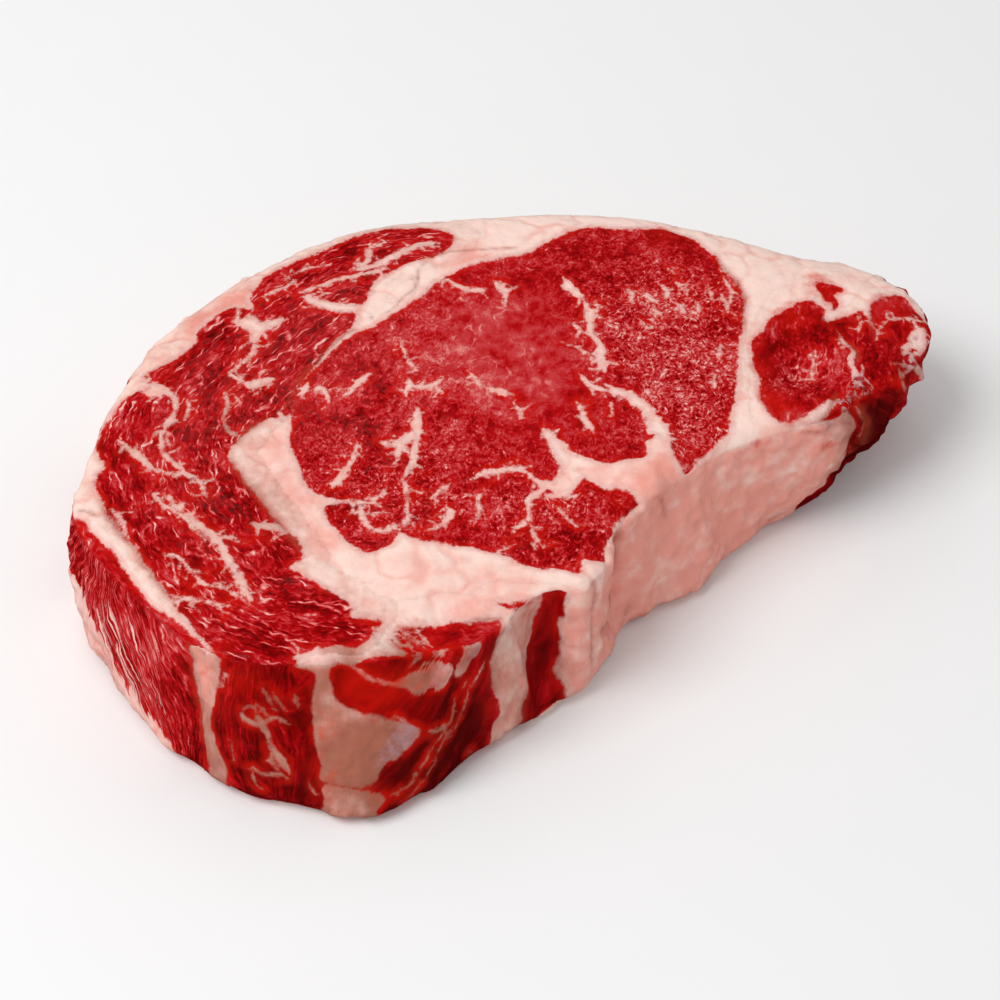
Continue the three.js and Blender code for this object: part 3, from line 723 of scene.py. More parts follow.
def roundSide(places, sideMap):
    # bearing of each place about the middle, and its s
    x = places[:, 0] - steakShape["middle"][0]
    y = places[:, 1] - steakShape["middle"][1]
    bearing = np.arctan2(y, x)
    return bearing, np.interp(bearing, sideMap["bearing"], sideMap["s"])


def fatOver(lean, places, patches, veinSets, widthNoise):
    # distance into the fat: outside the muscles, inside the patches or on a vein
    for outline in patches:
        lean = np.maximum(lean, -outlineDistance(outline, places, 3.0))
    return np.maximum(lean, drawLines(veinSets, places, widthNoise))


def upperFields(places, widthNoise):
    # what lies where on a cut face: places are x, y in mm
    lean = np.full(len(places), 6.0)
    home = np.zeros(len(places), dtype=int)    # number of the nearest muscle
    for index, outline in enumerate(muscles.values()):
        away = outlineDistance(outline, places)
        home = np.where(away < lean, index, home)
        lean = np.minimum(lean, away)
    isCap = home == list(muscles).index("cap")
    rims = [[(x, y, 1.4) for x, y in outline] for outline in fatPatches]
    veinSets = (veins, growSpurs(veins, 5, 2.2, 3.2), growSpurs(rims, 6, 1.8, 4.0))
    lines = drawLines([seams], places, widthNoise)
    grain = np.zeros((len(places), 3))
    for index, name in enumerate(muscles):
        mine = np.nonzero(home == index)[0]
        if len(mine) == 0:
            continue
        away, along, side, _ = alongLine(smoothLine(fibreLines[name]), places[mine])
        apart = np.full(len(mine), 37.0 * index)    # each muscle gets noise of its own
        grain[mine] = np.stack([away * side, along / fibreStretch[name], apart], axis=1)
    return {
        "fat": fatOver(lean, places, fatPatches, veinSets, widthNoise),
        "seam": 0.4 * softStep(-1.1, 0.3, lines) + 0.6 * softStep(-0.25, 0.25, lines),
        "toneAndPaintedLight": addSpots(tonesAndPaintedLight, places) - np.where(isCap, 0.3, 0),
        "flecks": np.where(isCap, 0.58, 0.5) + addSpots(fleckSpots, places),
        "blush": addSpots(blushes, places),
        "tissue": addSpots(greySpots, places),
        "grain": grain,
        "stain": addSpots(stains, places),
        "streaks": np.zeros(len(places)),
        "strands": np.where(isCap, 1.0, 0.42),
    }


def sideFields(s, z, girth, widthNoise):
    # what lies where on the side
    s = np.where(s > girth - 22, s - girth, s)    # the left end's drawings start below 0
    places = np.stack([s, z], axis=1)
    lean = np.full(len(places), 6.0)
    for outline in sideMuscles.values():
        lean = np.minimum(lean, outlineDistance(outline, places))
    veinSets = (sideVeins, growSpurs(sideVeins, 8, 4.5, 0.9))
    lines = drawLines([sideSeams], places, widthNoise)
    across = {name: np.interp(s, *zip(*steps)) for name, steps in sideSteps.items()}
    rind = softStep(325, 345, s) * softStep(girth - 4, girth - 24, s)
    blush = (1.0 - 0.75 * rind) * (1 - 0.3 * softStep(25, 35, z)) * across["blush"]
    slope = across["slope"]
    along = z * np.sqrt(1 + slope ** 2) / fibreStretch["side"]
    return {
        "fat": fatOver(lean, places, sideFat, veinSets, widthNoise),
        "seam": 0.5 * softStep(-1.6, 0.3, lines) + 0.5 * softStep(-0.3, 0.3, lines),
        # painted shade: the side darkens towards its foot
        "toneAndPaintedLight": addSpots(sideTonesAndShade, places) - 0.35 * softStep(5, 0, z) + across["toneAndPaintedLight"],
        "flecks": across["flecks"],
        "stain": addSpots(sideStains, places),
        "blush": blush + addSpots(sideBlushes, places),
        "tissue": addSpots(sideTissue, places),
        "grain": np.stack([s - (z - 17) * slope, along, np.full(len(s), 400.0)], axis=1),
        "streaks": np.clip(addSpots(sideStreaks, places), 0, 1),
        "strands": np.full(len(s), 0.25),
    }


def sideLift(s, z):
    # broad shape of the side, in mm outwards: the hollow red strip, then the swells and folds of the fat wall
    lift = np.zeros(len(s))
    lift -= 1.6 * softStep(170, 173, s + 0.3 * (z - 17)) * softStep(182, 180, s)
    lift += 1.0 * np.exp(-((s - 200) / 4.5) ** 2) + 0.7 * np.exp(-((s - 185.5) / 2.5) ** 2)
    lift += 0.8 * np.exp(-((s - 213) / 4.5) ** 2) * softStep(2, 12, z)
    lift -= 1.3 * np.exp(-((s - 206.3) / 1.4) ** 2) * softStep(3, 20, z)
    lift -= 0.8 * np.exp(-((s - 189.5) / 1.1) ** 2) * softStep(5, 18, z)
    lift -= 1.0 * np.exp(-((s - 198) / 5) ** 2 - ((z - 11 + 0.3 * (s - 198)) / 1.3) ** 2)
    return lift


def softenEdges(skin, sideMap):
    # rounds the upper edge: each point is evened out towards its neighbours, by its own share
    points = pointTable(skin)
    height = points[:, 2] / mm
    s = roundSide(points / mm, sideMap)[1]
    share = np.interp(s, softEdge["s"], softEdge["amount"]) * softStep(12, 24, height)
    share = np.maximum(share, 0.03) * softStep(0.3, 3.0, height)
    edges = np.empty(len(skin.edges) * 2, dtype=np.int32)
    skin.edges.foreach_get("vertices", edges)
    a, b = edges.reshape(-1, 2).T
    count = np.bincount(a, minlength=len(points)) + np.bincount(b, minlength=len(points))
    for turn in range(softEdge["rounds"]):
        for axis in range(3):
            line = points[:, axis]
            total = np.bincount(a, line[b], len(points)) + np.bincount(b, line[a], len(points))
            points[:, axis] = line + softEdge["pull"] * share * (total / count - line)
    placePoints(skin, points)


def markSkin(skin, sideMap):
    # every point learns what it is made of and how far it lifts
    points = pointTable(skin) / mm
    z = points[:, 2]
    up = readTable(skin.vertex_normals, "vector").astype(float)[:, 2]
    noise.seed_set(steakShape["noiseSeed"])
    warp = sum(amount * noiseVectors(points, size, shift) for amount, size, shift in skinNoise["wander"])
    widthNoise = sum(amount * noiseAt(points, size, shift) for amount, size, shift in skinNoise["width"])
    bearing, s = roundSide(points, sideMap)
    topRadius = np.interp(bearing, sideMap["bearing"], sideMap["top"])
    footRadius = np.interp(bearing, sideMap["bearing"], sideMap["foot"])
    wallTop = np.interp(s, [88, 98, 160, 170], [25, 31.5, 31.5, 25])    # the side's marks end at this height
    topShare = softStep(0.35, 0.65, up) * softStep(wallTop, wallTop + 2.5, z)
    bottomShare = softStep(0.35, 0.65, -up) * softStep(4, 2, z)
    # the under face repeats the muscles of the upper face, drawn out to its own outline
    middle = np.array(steakShape["middle"])
    stretch = np.where(z < 15, topRadius / np.maximum(footRadius, 1), 1.0)[:, None]
    plan = middle + (points[:, :2] - middle) * stretch + warp[:, :2]
    upper = upperFields(plan, widthNoise)
    side = sideFields(s + warp[:, 0], z + 0.7 * warp[:, 2], sideMap["girth"], widthNoise)
    share = np.clip(topShare + bottomShare, 0, 1)
    for name, values in upper.items():
        mix = (share[:, None] > 0.5).astype(float) if name == "grain" else share    # grain can't be mixed
        giveField(skin, name, values * mix + side[name] * (1 - mix))
    giveField(skin, "side", 1 - share)
    rough = sum(amount * noiseAt(points, size, shift) for amount, size, shift in skinNoise["rough"])
    lift = (sideLift(s, z) + rough * np.interp(s, edgeRough["s"], edgeRough["amount"])) * (1 - share)
    lift += addSpots(swellings, points[:, :2]) * topShare
    giveField(skin, "lift", lift * softStep(0.2, 2.5, z))
    giveField(skin, "free", softStep(0.15, 2.0, z))    # the resting face stays flat
    print("skin marked:", len(points), "points")


def addNode(tree, kind, inputs=(), output=0, **settings):
    # one node with its settings and links; gives one of its outputs
    node = tree.nodes.new(kind)
    for name, value in settings.items():
        setattr(node, name, value)
    for key, value in inputs.items() if isinstance(inputs, dict) else enumerate(inputs):
        if isinstance(value, bpy.types.NodeSocket):
            tree.links.new(value, node.inputs[key])
        else:
            node.inputs[key].default_value = value
    return node.outputs[output] if node.outputs else node


def addTerms(tree, total, terms):
    # total plus the product of each term's factors
    for product, *factors, last in terms:
        for factor in factors:
            product = addNode(tree, "ShaderNodeMath", [product, factor], operation="MULTIPLY")
        total = addNode(tree, "ShaderNodeMath", [product, last, total], operation="MULTIPLY_ADD")
    return total


# The relief, in mm.
reliefSizes = {
    "leanDepth": 0.14,     # how far lean sits below the fat around it
    "seamDepth": 0.12,
    "fibreDepth": 0.34,    # fibres standing out on the side
    "fibreWidth": 1.9,
    "fatLump": 0.5,
    "fatLumpSize": 9.0,
    "foldDepth": 0.22,     # soft folds in the fat
    "foldSize": 13.0,
    "cutWave": 0.35,       # slow waves the knife leaves on the cut face
    "cutWaveSize": 16.0,
    "pebble": 0.11,        # fine unevenness everywhere
    "pebbleSize": 1.6,
}


def reliefTree(material):
    tree = bpy.data.node_groups.new("meatRelief", "GeometryNodeTree")
    for way in ("INPUT", "OUTPUT"):
        tree.interface.new_socket("Geometry", in_out=way, socket_type="NodeSocketGeometry")
    for name, value in reliefSizes.items():
        tree.interface.new_socket(name, in_out="INPUT", socket_type="NodeSocketFloat").default_value = value
    size = addNode(tree, "NodeGroupInput").node.outputs
    mark = {}
    for name in ("fat", "seam", "side", "streaks", "lift", "free", "grain"):
        mark[name] = addNode(tree, "GeometryNodeInputNamedAttribute", {"Name": name}, "Attribute",
                             data_type="FLOAT_VECTOR" if name == "grain" else "FLOAT")
    place = addNode(tree, "ShaderNodeVectorMath",
                    {0: addNode(tree, "GeometryNodeInputPosition"), "Scale": 1 / mm}, operation="SCALE")
    fibres = addNode(tree, "ShaderNodeVectorMath", [mark["grain"], (1.0, 0.5, 1.0)], operation="MULTIPLY")

    # noise about 0: its space, its size and its detail
    wave = {}
    for name, space, width, detail in (
            ("fibre", fibres, "fibreWidth", 2.0), ("lump", place, "fatLumpSize", 2.0),
            ("fold", place, "foldSize", 1.5), ("cut", place, "cutWaveSize", 1.0),
            ("pebble", place, "pebbleSize", 1.0)):
        scale = addNode(tree, "ShaderNodeMath", [1.0, size[width]], operation="DIVIDE")
        texture = addNode(tree, "ShaderNodeTexNoise", {"Vector": space, "Scale": scale, "Detail": detail})
        wave[name] = addNode(tree, "ShaderNodeMath", [texture, 0.5], operation="SUBTRACT")

    isFat = addNode(tree, "ShaderNodeMapRange", [mark["fat"], -0.45, 0.45], interpolation_type="SMOOTHSTEP")
    isLean = addNode(tree, "ShaderNodeMath", [1.0, isFat], operation="SUBTRACT")
    streaky = addNode(tree, "ShaderNodeMapRange", {"Value": mark["streaks"], "To Min": 0.3})
    leanSide = addTerms(tree, 0.0, [(mark["side"], streaky, isLean)])
    fold = addNode(tree, "ShaderNodeMath", [wave["fold"]], operation="ABSOLUTE")
    fold = addNode(tree, "ShaderNodeMapRange", [fold, 0.0, 0.05, 1.0, 0.0], interpolation_type="SMOOTHSTEP")
    # noise seldom nears its ends, so it is widened to fill its depth
    height = addTerms(tree, 0.0, [
        (isLean, size["leanDepth"], -1.0),
        (mark["seam"], size["seamDepth"], -1.0),
        (wave["fibre"], size["fibreDepth"], 3.0, leanSide),
        (wave["lump"], size["fatLump"], 2.5, isFat),
        (isFat, size["foldDepth"], -1.0, fold),
        (wave["cut"], size["cutWave"], 2.5),
        (wave["pebble"], size["pebble"], 2.5),
        (mark["lift"], 1.0),
    ])
    height = addTerms(tree, 0.0, [(height, mark["free"], mm)])

    normal = addNode(tree, "GeometryNodeInputNormal")
    offset = addNode(tree, "ShaderNodeVectorMath", {0: normal, "Scale": height}, operation="SCALE")
    moved = addNode(tree, "GeometryNodeSetPosition", {"Geometry": size["Geometry"], "Offset": offset})
    marked = addNode(tree, "GeometryNodeStoreNamedAttribute",
                     {"Geometry": moved, "Name": "fold", "Value": fold}, data_type="FLOAT", domain="POINT")
    whole = addNode(tree, "GeometryNodeRealizeInstances", {"Geometry": marked})
    dressed = addNode(tree, "GeometryNodeSetMaterial", {"Geometry": whole, "Material": material})
    addNode(tree, "NodeGroupOutput", {"Geometry": dressed})
    return tree


def carveRelief(skin, material):
    thing = looseObject("reliefWork", skin)
    relief = thing.modifiers.new("relief", "NODES")
    relief.node_group = reliefTree(material)
    for item in relief.node_group.interface.items_tree:
        if item.in_out == "INPUT" and item.name in reliefSizes:
            relief[item.identifier] = reliefSizes[item.name]
    carved = evaluatedMesh(thing)
    print("relief carved")
    return carved


def thinOut(mesh):
    # drops points where they matter least: first the flat under face, then the back
    points = pointTable(mesh) / mm
    up = readTable(mesh.vertex_normals, "vector").astype(float)[:, 2]
    share = np.where(up > 0.45, 0.0, steakShape["keepWall"])
    bearing = np.arctan2(points[:, 1] - steakShape["middle"][1], points[:, 0] - steakShape["middle"][0])
    share = np.where((share > 0) & (bearing > 0), steakShape["keepBack"], share)
    share = np.where(points[:, 2] < 0.3, steakShape["keepBottom"], share)
    thing = looseObject("thinWork", mesh)
    group = thing.vertex_groups.new(name="spare")
    for value in np.unique(share):
        group.add(np.nonzero(share == value)[0].tolist(), float(value), "REPLACE")
    thin = thing.modifiers.new("thin", "DECIMATE")
    thin.decimate_type = "COLLAPSE"
    thin.use_collapse_triangulate = True
    thin.vertex_group = "spare"
    thin.vertex_group_factor = 1.0
    thin.ratio = steakShape["mostTriangles"] / (2 * len(mesh.polygons))
    result = evaluatedMesh(thing)
    print("thinned out:", len(result.polygons), "triangles")
    return result


def settleFolds(mesh):
    # slivers that the thinning folded over go back among their neighbours
    work = bmesh.new()
    work.from_mesh(mesh)
    for turn in range(steakShape["foldRounds"]):
        work.normal_update()
        folded = {vert for edge in work.edges
                  if edge.link_faces[0].normal.dot(edge.link_faces[1].normal) < steakShape["foldLimit"]
                  for vert in edge.verts}
        if not folded:
            break
        spots = sorted(folded, key=lambda vert: vert.index)
        bmesh.ops.smooth_vert(work, verts=spots, factor=steakShape["foldPull"], use_axis_x=True,
                              use_axis_y=True, use_axis_z=True)
    work.to_mesh(mesh)
    work.free()


def keepInBox(mesh):
    points = np.clip(pointTable(mesh), np.array(cadLow), np.array(cadHigh))
    points[:, 2] = np.where(points[:, 2] < 0.05 * mm, 0, points[:, 2])
    placePoints(mesh, points)


def layOutForBake(mesh, sideMap):
    # upper face, side in two strips, and under face, each laid flat in one square
    points = pointTable(mesh) / mm
    loops = np.empty(len(mesh.loops), dtype=np.int32)
    mesh.loops.foreach_get("vertex_index", loops)
    upward = np.repeat(readTable(mesh.polygons, "normal")[:, 2], 3)
    s = roundSide(points, sideMap)[1]
    girth = sideMap["girth"]
    half = girth / 2
    corner = s[loops].reshape(-1, 3)
    corner = np.where(corner - corner.max(axis=1, keepdims=True) < -half, corner + girth, corner)
    centre = corner.mean(axis=1, keepdims=True)
    strip = np.repeat((centre[:, 0] % girth) >= half, 3)
    around = corner.reshape(-1) - np.where(strip, half, 0)
    around = np.where(around > half + 20, around - girth, around)
    x, y, z = points[loops].T
    topScale = 0.66 / 170    # of the square, for each mm
    footScale = 0.19 / 170
    u = 0.02 + (around + 4) / (half + 12) * 0.96
    v = 0.015 + z / 37 * 0.13 + np.where(strip, 0.15, 0)
    isTop = upward > 0.4
    isFoot = (upward < -0.6) & (z < 3)
    u = np.where(isTop, 0.01 + (x + 101) * topScale, u)
    v = np.where(isTop, 0.325 + (y + 83) * topScale, v)
    u = np.where(isFoot, 0.80 + (y + 83) * footScale, u)
    v = np.where(isFoot, 0.34 + (x + 101) * footScale * 1.6, v)
    layer = mesh.uv_layers.new(name="OFBake")
    layer.data.foreach_set("uv", np.stack([u, v], axis=1).astype(np.float32).ravel())


# Colours, as seen on raw beef that has bloomed in air.
beefColours = {
    "shade": "#5a0000",     # lean in a fold or at the foot
    "deep": "#8e0003",      # lean between the bundles of fibres
    "lean": "#b4050c",      # bloomed lean
    "rosy": "#c63b3e",      # lean with fine fat all through it
    "fleck": "#dc7d77",     # flecks of marbling
    "vein": "#eabbb2",      # thicker marbling, with some red showing through
    "rim": "#ca1404",       # lean against the fat, brightest of all
    "fat": "#fadace",       # firm fat
    "blush": "#ee9f90",     # fat wet with juice, as on the sides
    "tanAndShade": "#a4604c",       # fat that has begun to dry; also painted shade on fat
    "tissue": "#b0868c",    # thin grey tissue over fat
    "stain": "#cf3a22",     # juice that has soaked into fat
    "seam": "#98402c",      # shadowed line between muscles
}

# Where each colour of the lean stands between dark and pale.
leanSteps = [(0.14, "shade"), (0.32, "deep"), (0.45, "lean"), (0.61, "rosy"), (0.77, "fleck"), (0.93, "vein")]

# Strength of each effect where a mark is 0 and where it is 1; side is 0 on the cut faces.
beefStrengths = {
    "sway": ("side", 1.0, 0.4),
    "threads": ("side", 0.3, 1.1),
    "flakes": ("side", 0.34, 0.1),
    "ragged": ("side", 2.0, 1.1),
    "torn": ("side", 2.5, 0.8),
    "mottle": ("side", 1.2, 1.9),
    "shadow": ("side", 0.6, 0.5),
    "flecks": ("flecks", 0.15, 1.25),
    "thin": ("streaks", 1.0, 0.35),
}

# Clouds of noise, their sizes in mm. Without "becomes" they lie about 0; with it, the first two numbers
# of the noise become the last two. Grain runs along the fibres, place is plain x, y, z.
beefClouds = {
    "big": dict(size=9.0),
    "middle": dict(space="grain", size=2.4),
    "fine": dict(space="grain", size=0.75, detail=3.0, roughness=0.62),
    "threads": dict(space="grain", stretch=(1, 0.3, 1), size=0.8, roughness=0.6),
    "netPatches": dict(size=1.6, becomes=(0.40, 0.58, 0, 1)),
    "flakes": dict(space="grain", stretch=(1, 0.7, 1), shift=(0, 6.3, 0), size=0.62, detail=1.0,
                   becomes=(0.58, 0.74, 0, 1)),
    "flakePatches": dict(shift=(5, 0, 0), size=2.4, becomes=(0.42, 0.6, 0, 1)),
    "bundlePatches": dict(shift=(40, 0, 0), size=3.5),
    "rimPatches": dict(shift=(0, 20, 0), size=7.0, becomes=(0.38, 0.6, 0.3, 1)),
    "ragged": dict(size=1.4, detail=4.0, roughness=0.65),
    "streaky": dict(space="grain", stretch=(1, 0.3, 1), shift=(0, 0, 50), size=1.5),
    "film": dict(size=1.5, detail=3.0, roughness=0.6, becomes=(0.32, 0.68, 0.4, 1.6)),
    "patchy": dict(space="grain", size=0.9, detail=3.0, roughness=0.6, becomes=(0.45, 0.7, 0, 0.45)),
    "mottle": dict(size=5.0, detail=3.0),
    "foldPatches": dict(shift=(0, 0, 90), size=6.0, becomes=(0.35, 0.6, 0.1, 0.5)),
    "streaks": dict(stretch=(1, 1, 0.6), size=2.8, detail=3.0, roughness=0.6),
    "soak": dict(size=2.0, detail=3.0),
    "wetness": dict(size=1.1, becomes=(0.3, 0.7, 0.28, 0.5)),
    "fibreBumps": dict(space="grain", size=0.9),
    "softBumps": dict(size=2.2),
}

# Nets of thin lines round cells: stretch and shift of the grain, size and width of the lines.
beefNets = {
    "fine": ((1, 1, 1), (0, 0, 0), 1.1, 0.26),
    "bundles": ((1, 0.7, 1), (30, 0, 0), 3.2, 0.08),
}


def beefMarks(tree):
    # what every point was marked with, and the strengths that follow from it
    mark = {}
    for name in ("side", "fat", "seam", "toneAndPaintedLight", "flecks", "blush", "tissue", "stain", "streaks", "strands",
                 "fold"):
        mark[name] = addNode(tree, "ShaderNodeAttribute", output="Fac", attribute_name=name)
    strength = {}
    for name, (source, low, high) in beefStrengths.items():
        strength[name] = addNode(tree, "ShaderNodeMapRange", [mark[source], 0, 1, low, high],
                                 interpolation_type="SMOOTHSTEP")
    return mark, strength


def beefGrain(tree, place, strength):
    # the fibres sway slowly, more calmly on the side, and tremble finely
    grain = addNode(tree, "ShaderNodeAttribute", output="Vector", attribute_name="grain")
    for size, detail, reach, calm in ((3.0, 1.0, (2.2, 0.5, 0), strength["sway"]),
                                      (0.9, 2.0, (0.45, 0.15, 0), 1.0)):
        noiseInputs = {"Vector": place, "Scale": 1 / size, "Detail": detail}
        texture = addNode(tree, "ShaderNodeTexNoise", noiseInputs, "Color")
        centred = addNode(tree, "ShaderNodeVectorMath", [texture, (0.5, 0.5, 0.5)], operation="SUBTRACT")
        calmed = addNode(tree, "ShaderNodeVectorMath", {0: centred, "Scale": calm}, operation="SCALE")
        grain = addNode(tree, "ShaderNodeVectorMath", [calmed, reach, grain], operation="MULTIPLY_ADD")
    return grain


def beefNoise(tree, place, grain):
    cloud = {}
    for name, given in beefClouds.items():
        space = grain if given.get("space") == "grain" else place
        if "stretch" in given or "shift" in given:
            move = [space, given.get("stretch", (1, 1, 1)), given.get("shift", (0, 0, 0))]
            space = addNode(tree, "ShaderNodeVectorMath", move, operation="MULTIPLY_ADD")
        texture = addNode(tree, "ShaderNodeTexNoise", {
            "Vector": space, "Scale": 1 / given["size"], "Detail": given.get("detail", 2.0),
            "Roughness": given.get("roughness", 0.5)})
        if "becomes" in given:
            cloud[name] = addNode(tree, "ShaderNodeMapRange", [texture, *given["becomes"]],
                                  interpolation_type="SMOOTHSTEP")
        else:
            cloud[name] = addNode(tree, "ShaderNodeMath", [texture, 0.5], operation="SUBTRACT")
    net = {}
    for name, (stretch, shift, size, width) in beefNets.items():
        space = addNode(tree, "ShaderNodeVectorMath", [grain, stretch, shift], operation="MULTIPLY_ADD")
        texture = addNode(tree, "ShaderNodeTexVoronoi", {"Vector": space, "Scale": 1 / size},
                          "Distance", feature="DISTANCE_TO_EDGE")
        net[name] = addNode(tree, "ShaderNodeMapRange", [texture, 0.0, width, 1.0, 0.0],
                            interpolation_type="SMOOTHSTEP")
    return cloud, net


def leanLevel(tree, mark, strength, cloud, net):
    # how pale the lean is, from dark through red to pink flecks, by noise drawn out along the fibres
    patches = addTerms(tree, cloud["bundlePatches"], [(mark["strands"], 0.15)])
    bundles = addNode(tree, "ShaderNodeMapRange", [patches, 0.05, 0.28], interpolation_type="SMOOTHSTEP")
    flecks = strength["flecks"]
    return addTerms(tree, 0.41, [
        # tone brings painted shade and painted sheen as well as the lean's own tone
        (mark["toneAndPaintedLight"], 0.18),
        (cloud["big"], 0.5),
        (cloud["middle"], 0.5),
        (cloud["fine"], 1.05, flecks),
        (cloud["threads"], strength["threads"], flecks),
        (net["fine"], cloud["netPatches"], flecks, 0.16),
        (cloud["flakes"], cloud["flakePatches"], strength["flakes"], flecks),
        (net["bundles"], bundles, mark["strands"], 0.42),
    ])


def leanColour(tree, level, mark, cloud, colour):
    lean = addNode(tree, "ShaderNodeValToRGB", [level])
    elements = lean.node.color_ramp.elements
    while len(elements) < len(leanSteps):
        elements.new(0.5)
    for element, (position, name) in zip(elements, leanSteps):
        element.position = position
        element.color = colour[name]
    # fresh red beside the fat and where juice stands, but not over the pale flecks
    nearFat = addNode(tree, "ShaderNodeMapRange", [mark["fat"], -2.2, -0.3], interpolation_type="SMOOTHSTEP")
    atRim = addTerms(tree, 0.0, [(nearFat, cloud["rimPatches"])])
    fresh = addNode(tree, "ShaderNodeMath", [atRim, mark["stain"]], operation="MAXIMUM")
    room = addNode(tree, "ShaderNodeMapRange", [level, 0.48, 0.7, 0.7, 0.05], interpolation_type="SMOOTHSTEP")
    share = addTerms(tree, 0.0, [(fresh, room)])
    return addNode(tree, "ShaderNodeMix", {0: share, 6: lean, 7: colour["rim"]}, 2, data_type="RGBA")


def fatEdges(tree, film, mark, strength, cloud):
    # mm into the fat: a crisp edge, a little ragged, broken into streaks or torn where the tissue is thin
    tissue = addNode(tree, "ShaderNodeMapRange", [film, 0.1, 1.0], interpolation_type="SMOOTHSTEP")
    most = addTerms(tree, 2.2, [(tissue, strength["torn"], -1.0)])
    heldIn = addNode(tree, "ShaderNodeMath", [mark["fat"], -1.3], operation="MAXIMUM")
    heldIn = addNode(tree, "ShaderNodeMath", [heldIn, most], operation="MINIMUM")
    return addTerms(tree, heldIn, [
        (cloud["ragged"], strength["ragged"]),
        (cloud["streaky"], 15.0, mark["streaks"]),
        (mark["streaks"], 1.05),
    ])


def fatColour(tree, edge, film, mark, strength, cloud, colour):
    blush = addTerms(tree, mark["blush"], [(cloud["mottle"], strength["mottle"])])
    # tan where the fat dries in streaks, and painted shade where the tone mark is dark
    dryAndShade = addTerms(tree, 0.0, [(mark["toneAndPaintedLight"], -1.0), (cloud["streaks"], 0.8)])
    soaked = addTerms(tree, mark["stain"], [(cloud["soak"], 1.4)])
    share = {}
    for name, value, low, high, least, most in (
            ("thick", edge, 0.3, 2.0, 0, 1), ("blush", blush, 0, 1.1, 0, 1), ("wet", blush, 0.2, 1, 0.1, 0.5),
            ("streaks", cloud["streaks"], -0.02, 0.25, 0, 1), ("tanAndShade", dryAndShade, 0, 1.3, 0, 0.95),
            ("tissue", film, 0.05, 0.9, 0, 0.7), ("stain", soaked, 0.2, 1.1, 0, 0.75)):
        share[name] = addNode(tree, "ShaderNodeMapRange", [value, low, high, least, most],
                              interpolation_type="SMOOTHSTEP")
    for name, a, b in (("thick", share["thick"], strength["thin"]),
                       ("fold", mark["fold"], cloud["foldPatches"]),
                       ("streaks", share["streaks"], share["wet"])):
        share[name] = addTerms(tree, 0.0, [(a, b)])
    # thin fat lets red through; then folds, juice, drying and painted shade, tissue and stains, each over the
    # last
    fat = addNode(tree, "ShaderNodeMix", {0: share["blush"], 6: colour["fat"], 7: colour["blush"]}, 2,
                  data_type="RGBA")
    veins = addNode(tree, "ShaderNodeMix", {0: cloud["patchy"], 6: colour["vein"], 7: colour["fleck"]}, 2,
                    data_type="RGBA")
    fat = addNode(tree, "ShaderNodeMix", {0: share["thick"], 6: veins, 7: fat}, 2, data_type="RGBA")
    for name, over in (("fold", "blush"), ("streaks", "blush"), ("tanAndShade", "tanAndShade"), ("tissue", "tissue"),
                       ("stain", "stain")):
        fat = addNode(tree, "ShaderNodeMix", {0: share[name], 6: fat, 7: colour[over]}, 2, data_type="RGBA")
    return fat


def rawBeef():
    # raw beef, cut with a knife: moist muscle, dark red where deep and rosy where fine fat runs through it;
    # firm cream fat, pinker where juice wets it; a thin wet film over both gives small soft highlights
    material = bpy.data.materials.new("rawBeef")
    material.use_nodes = True
    tree = material.node_tree
    tree.nodes.clear()
    colour = {name: linearColour(text) for name, text in beefColours.items()}
    mark, strength = beefMarks(tree)
    metres = addNode(tree, "ShaderNodeTexCoord", output="Object")
    place = addNode(tree, "ShaderNodeVectorMath", {0: metres, "Scale": 1 / mm}, operation="SCALE")
    grain = beefGrain(tree, place, strength)
    cloud, net = beefNoise(tree, place, grain)
    level = leanLevel(tree, mark, strength, cloud, net)
    lean = leanColour(tree, level, mark, cloud, colour)
    film = addTerms(tree, 0.0, [(mark["tissue"], cloud["film"])])
    edge = fatEdges(tree, film, mark, strength, cloud)
    fat = fatColour(tree, edge, film, mark, strength, cloud, colour)
    isFat = addNode(tree, "ShaderNodeMapRange", [edge, -0.35, 0.4], interpolation_type="SMOOTHSTEP")
    shadow = addTerms(tree, 0.0, [(mark["seam"], strength["shadow"])])
    whole = lean
    for share, over in ((isFat, fat), (shadow, colour["seam"])):
        whole = addNode(tree, "ShaderNodeMix", {0: share, 6: whole, 7: over}, 2, data_type="RGBA")
    height = addTerms(tree, 0.0, [(level, 0.3), (cloud["fibreBumps"], 0.5), (cloud["softBumps"], 0.6)])
    bump = addNode(tree, "ShaderNodeBump", {"Height": height, "Strength": 0.4, "Distance": 0.4 * mm})
    shader = addNode(tree, "ShaderNodeBsdfPrincipled", {
        "Base Color": whole, "Roughness": cloud["wetness"], "Normal": bump,
        "IOR": 1.38,                   # moist muscle
        "Specular IOR Level": 0.06,    # low, because the light mostly sinks in
        "Coat Weight": 0.12,           # film of juice
        "Coat Roughness": 0.07,
        "Coat IOR": 1.34,
    })
    addNode(tree, "ShaderNodeOutputMaterial", {"Surface": shader})
    return material


studio = {
    "floorColour": "#f4f4f4",
    "floorHalf": 3.0,          # metres, as are the lamps' sizes and places
    "floorDrop": 0.0002,       # keeps the floor clear of the resting face
    "worldColour": "#ffffff",
    "worldStrength": 0.58,
    "lamps": {                 # place, size and power
        "keyLight": ((-0.65, -0.25, 1.05), 0.8, 9.0),
        "backLight": ((-0.2, 0.9, 0.9), 0.25, 0.35),
    },
}
cameraView = {
    "elevation": 48.0,         # degrees above the floor, seen from the front
    "distance": 560.0,
    "lens": 87.12,
    "target": (-2.898, -1.775, 15.0),
}


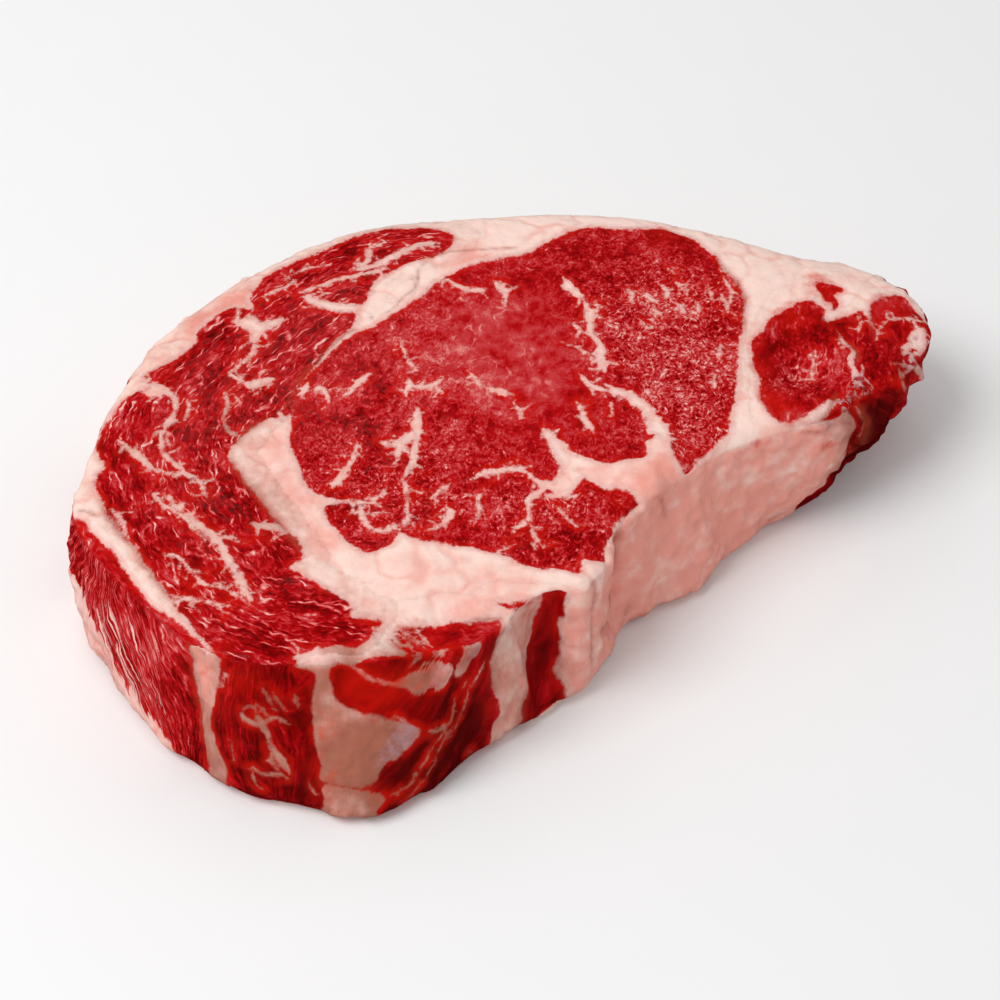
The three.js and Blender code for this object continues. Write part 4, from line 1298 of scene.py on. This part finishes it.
def floorPlastic():
    # smooth pale board, matt enough to show only a soft shadow
    material = bpy.data.materials.new("paleBoard")
    material.use_nodes = True
    tree = material.node_tree
    shader = tree.nodes["Principled BSDF"]
    pale = linearColour(studio["floorColour"])
    darker = tuple(c * 0.985 for c in pale[:3]) + (1.0,)
    metres = addNode(tree, "ShaderNodeTexCoord", output="Object")
    clouds = addNode(tree, "ShaderNodeTexNoise", {"Vector": metres, "Scale": 30.0, "Detail": 2.0})
    shade = addNode(tree, "ShaderNodeMix", {0: clouds, 6: pale, 7: darker}, 2, data_type="RGBA")
    tree.links.new(shade, shader.inputs["Base Color"])
    shader.inputs["Roughness"].default_value = 0.8
    return material


def makeFloor():
    mesh = bpy.data.meshes.new("floor")
    half = studio["floorHalf"]
    corners = [(-half, -half, 0), (half, -half, 0), (half, half, 0), (-half, half, 0)]
    mesh.from_pydata(corners, [], [(0, 1, 2, 3)])
    floor = looseObject("floor", mesh)
    floor.location.z = cadLow[2] - studio["floorDrop"]
    floor.visible_glossy = False    # else its reflection veils the dark foot of the meat
    mesh.materials.append(floorPlastic())


def makeLights():
    world = bpy.data.worlds.new("studioRoom")
    scene.world = world
    world.use_nodes = True
    background = world.node_tree.nodes["Background"]
    background.inputs["Color"].default_value = linearColour(studio["worldColour"])
    background.inputs["Strength"].default_value = studio["worldStrength"]
    world.cycles_visibility.glossy = False
    for name, (place, size, power) in studio["lamps"].items():
        lamp = bpy.data.lights.new(name, "AREA")
        lamp.shape = "DISK"
        lamp.size = size
        lamp.energy = power
        thing = looseObject(name, lamp)
        thing.location = place
        thing.rotation_euler = (-Vector(place)).to_track_quat("-Z", "Y").to_euler()


def makeCamera():
    target = Vector(cameraView["target"]) * mm
    rise = math.radians(cameraView["elevation"])
    away = Vector((0, -math.cos(rise), math.sin(rise)))
    camera = bpy.data.cameras.new("camera")
    camera.lens = cameraView["lens"]
    camera.sensor_width = 36
    camera.clip_start = 0.01
    thing = looseObject("camera", camera)
    thing.location = target + away * cameraView["distance"] * mm
    thing.rotation_euler = (-away).to_track_quat("-Z", "Y").to_euler()
    scene.camera = thing


scene.view_settings.view_transform = "Standard"
makeCamera()
makeLights()
makeFloor()
print("studio ready")

solid = weldedCopy(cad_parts["steak"])
sideMap = mapSide(solid)
skin = makeSkin(solid)
softenEdges(skin, sideMap)
markSkin(skin, sideMap)
beef = rawBeef()
carved = carveRelief(skin, beef)
finished = thinOut(carved)
settleFolds(finished)
keepInBox(finished)
layOutForBake(finished, sideMap)
finished.shade_smooth()
steak = looseObject("rawSteak", finished)
steak.data.materials.clear()
steak.data.materials.append(beef)
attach(steak, "root")
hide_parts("steak")
print("steak ready:", len(finished.polygons), "triangles")
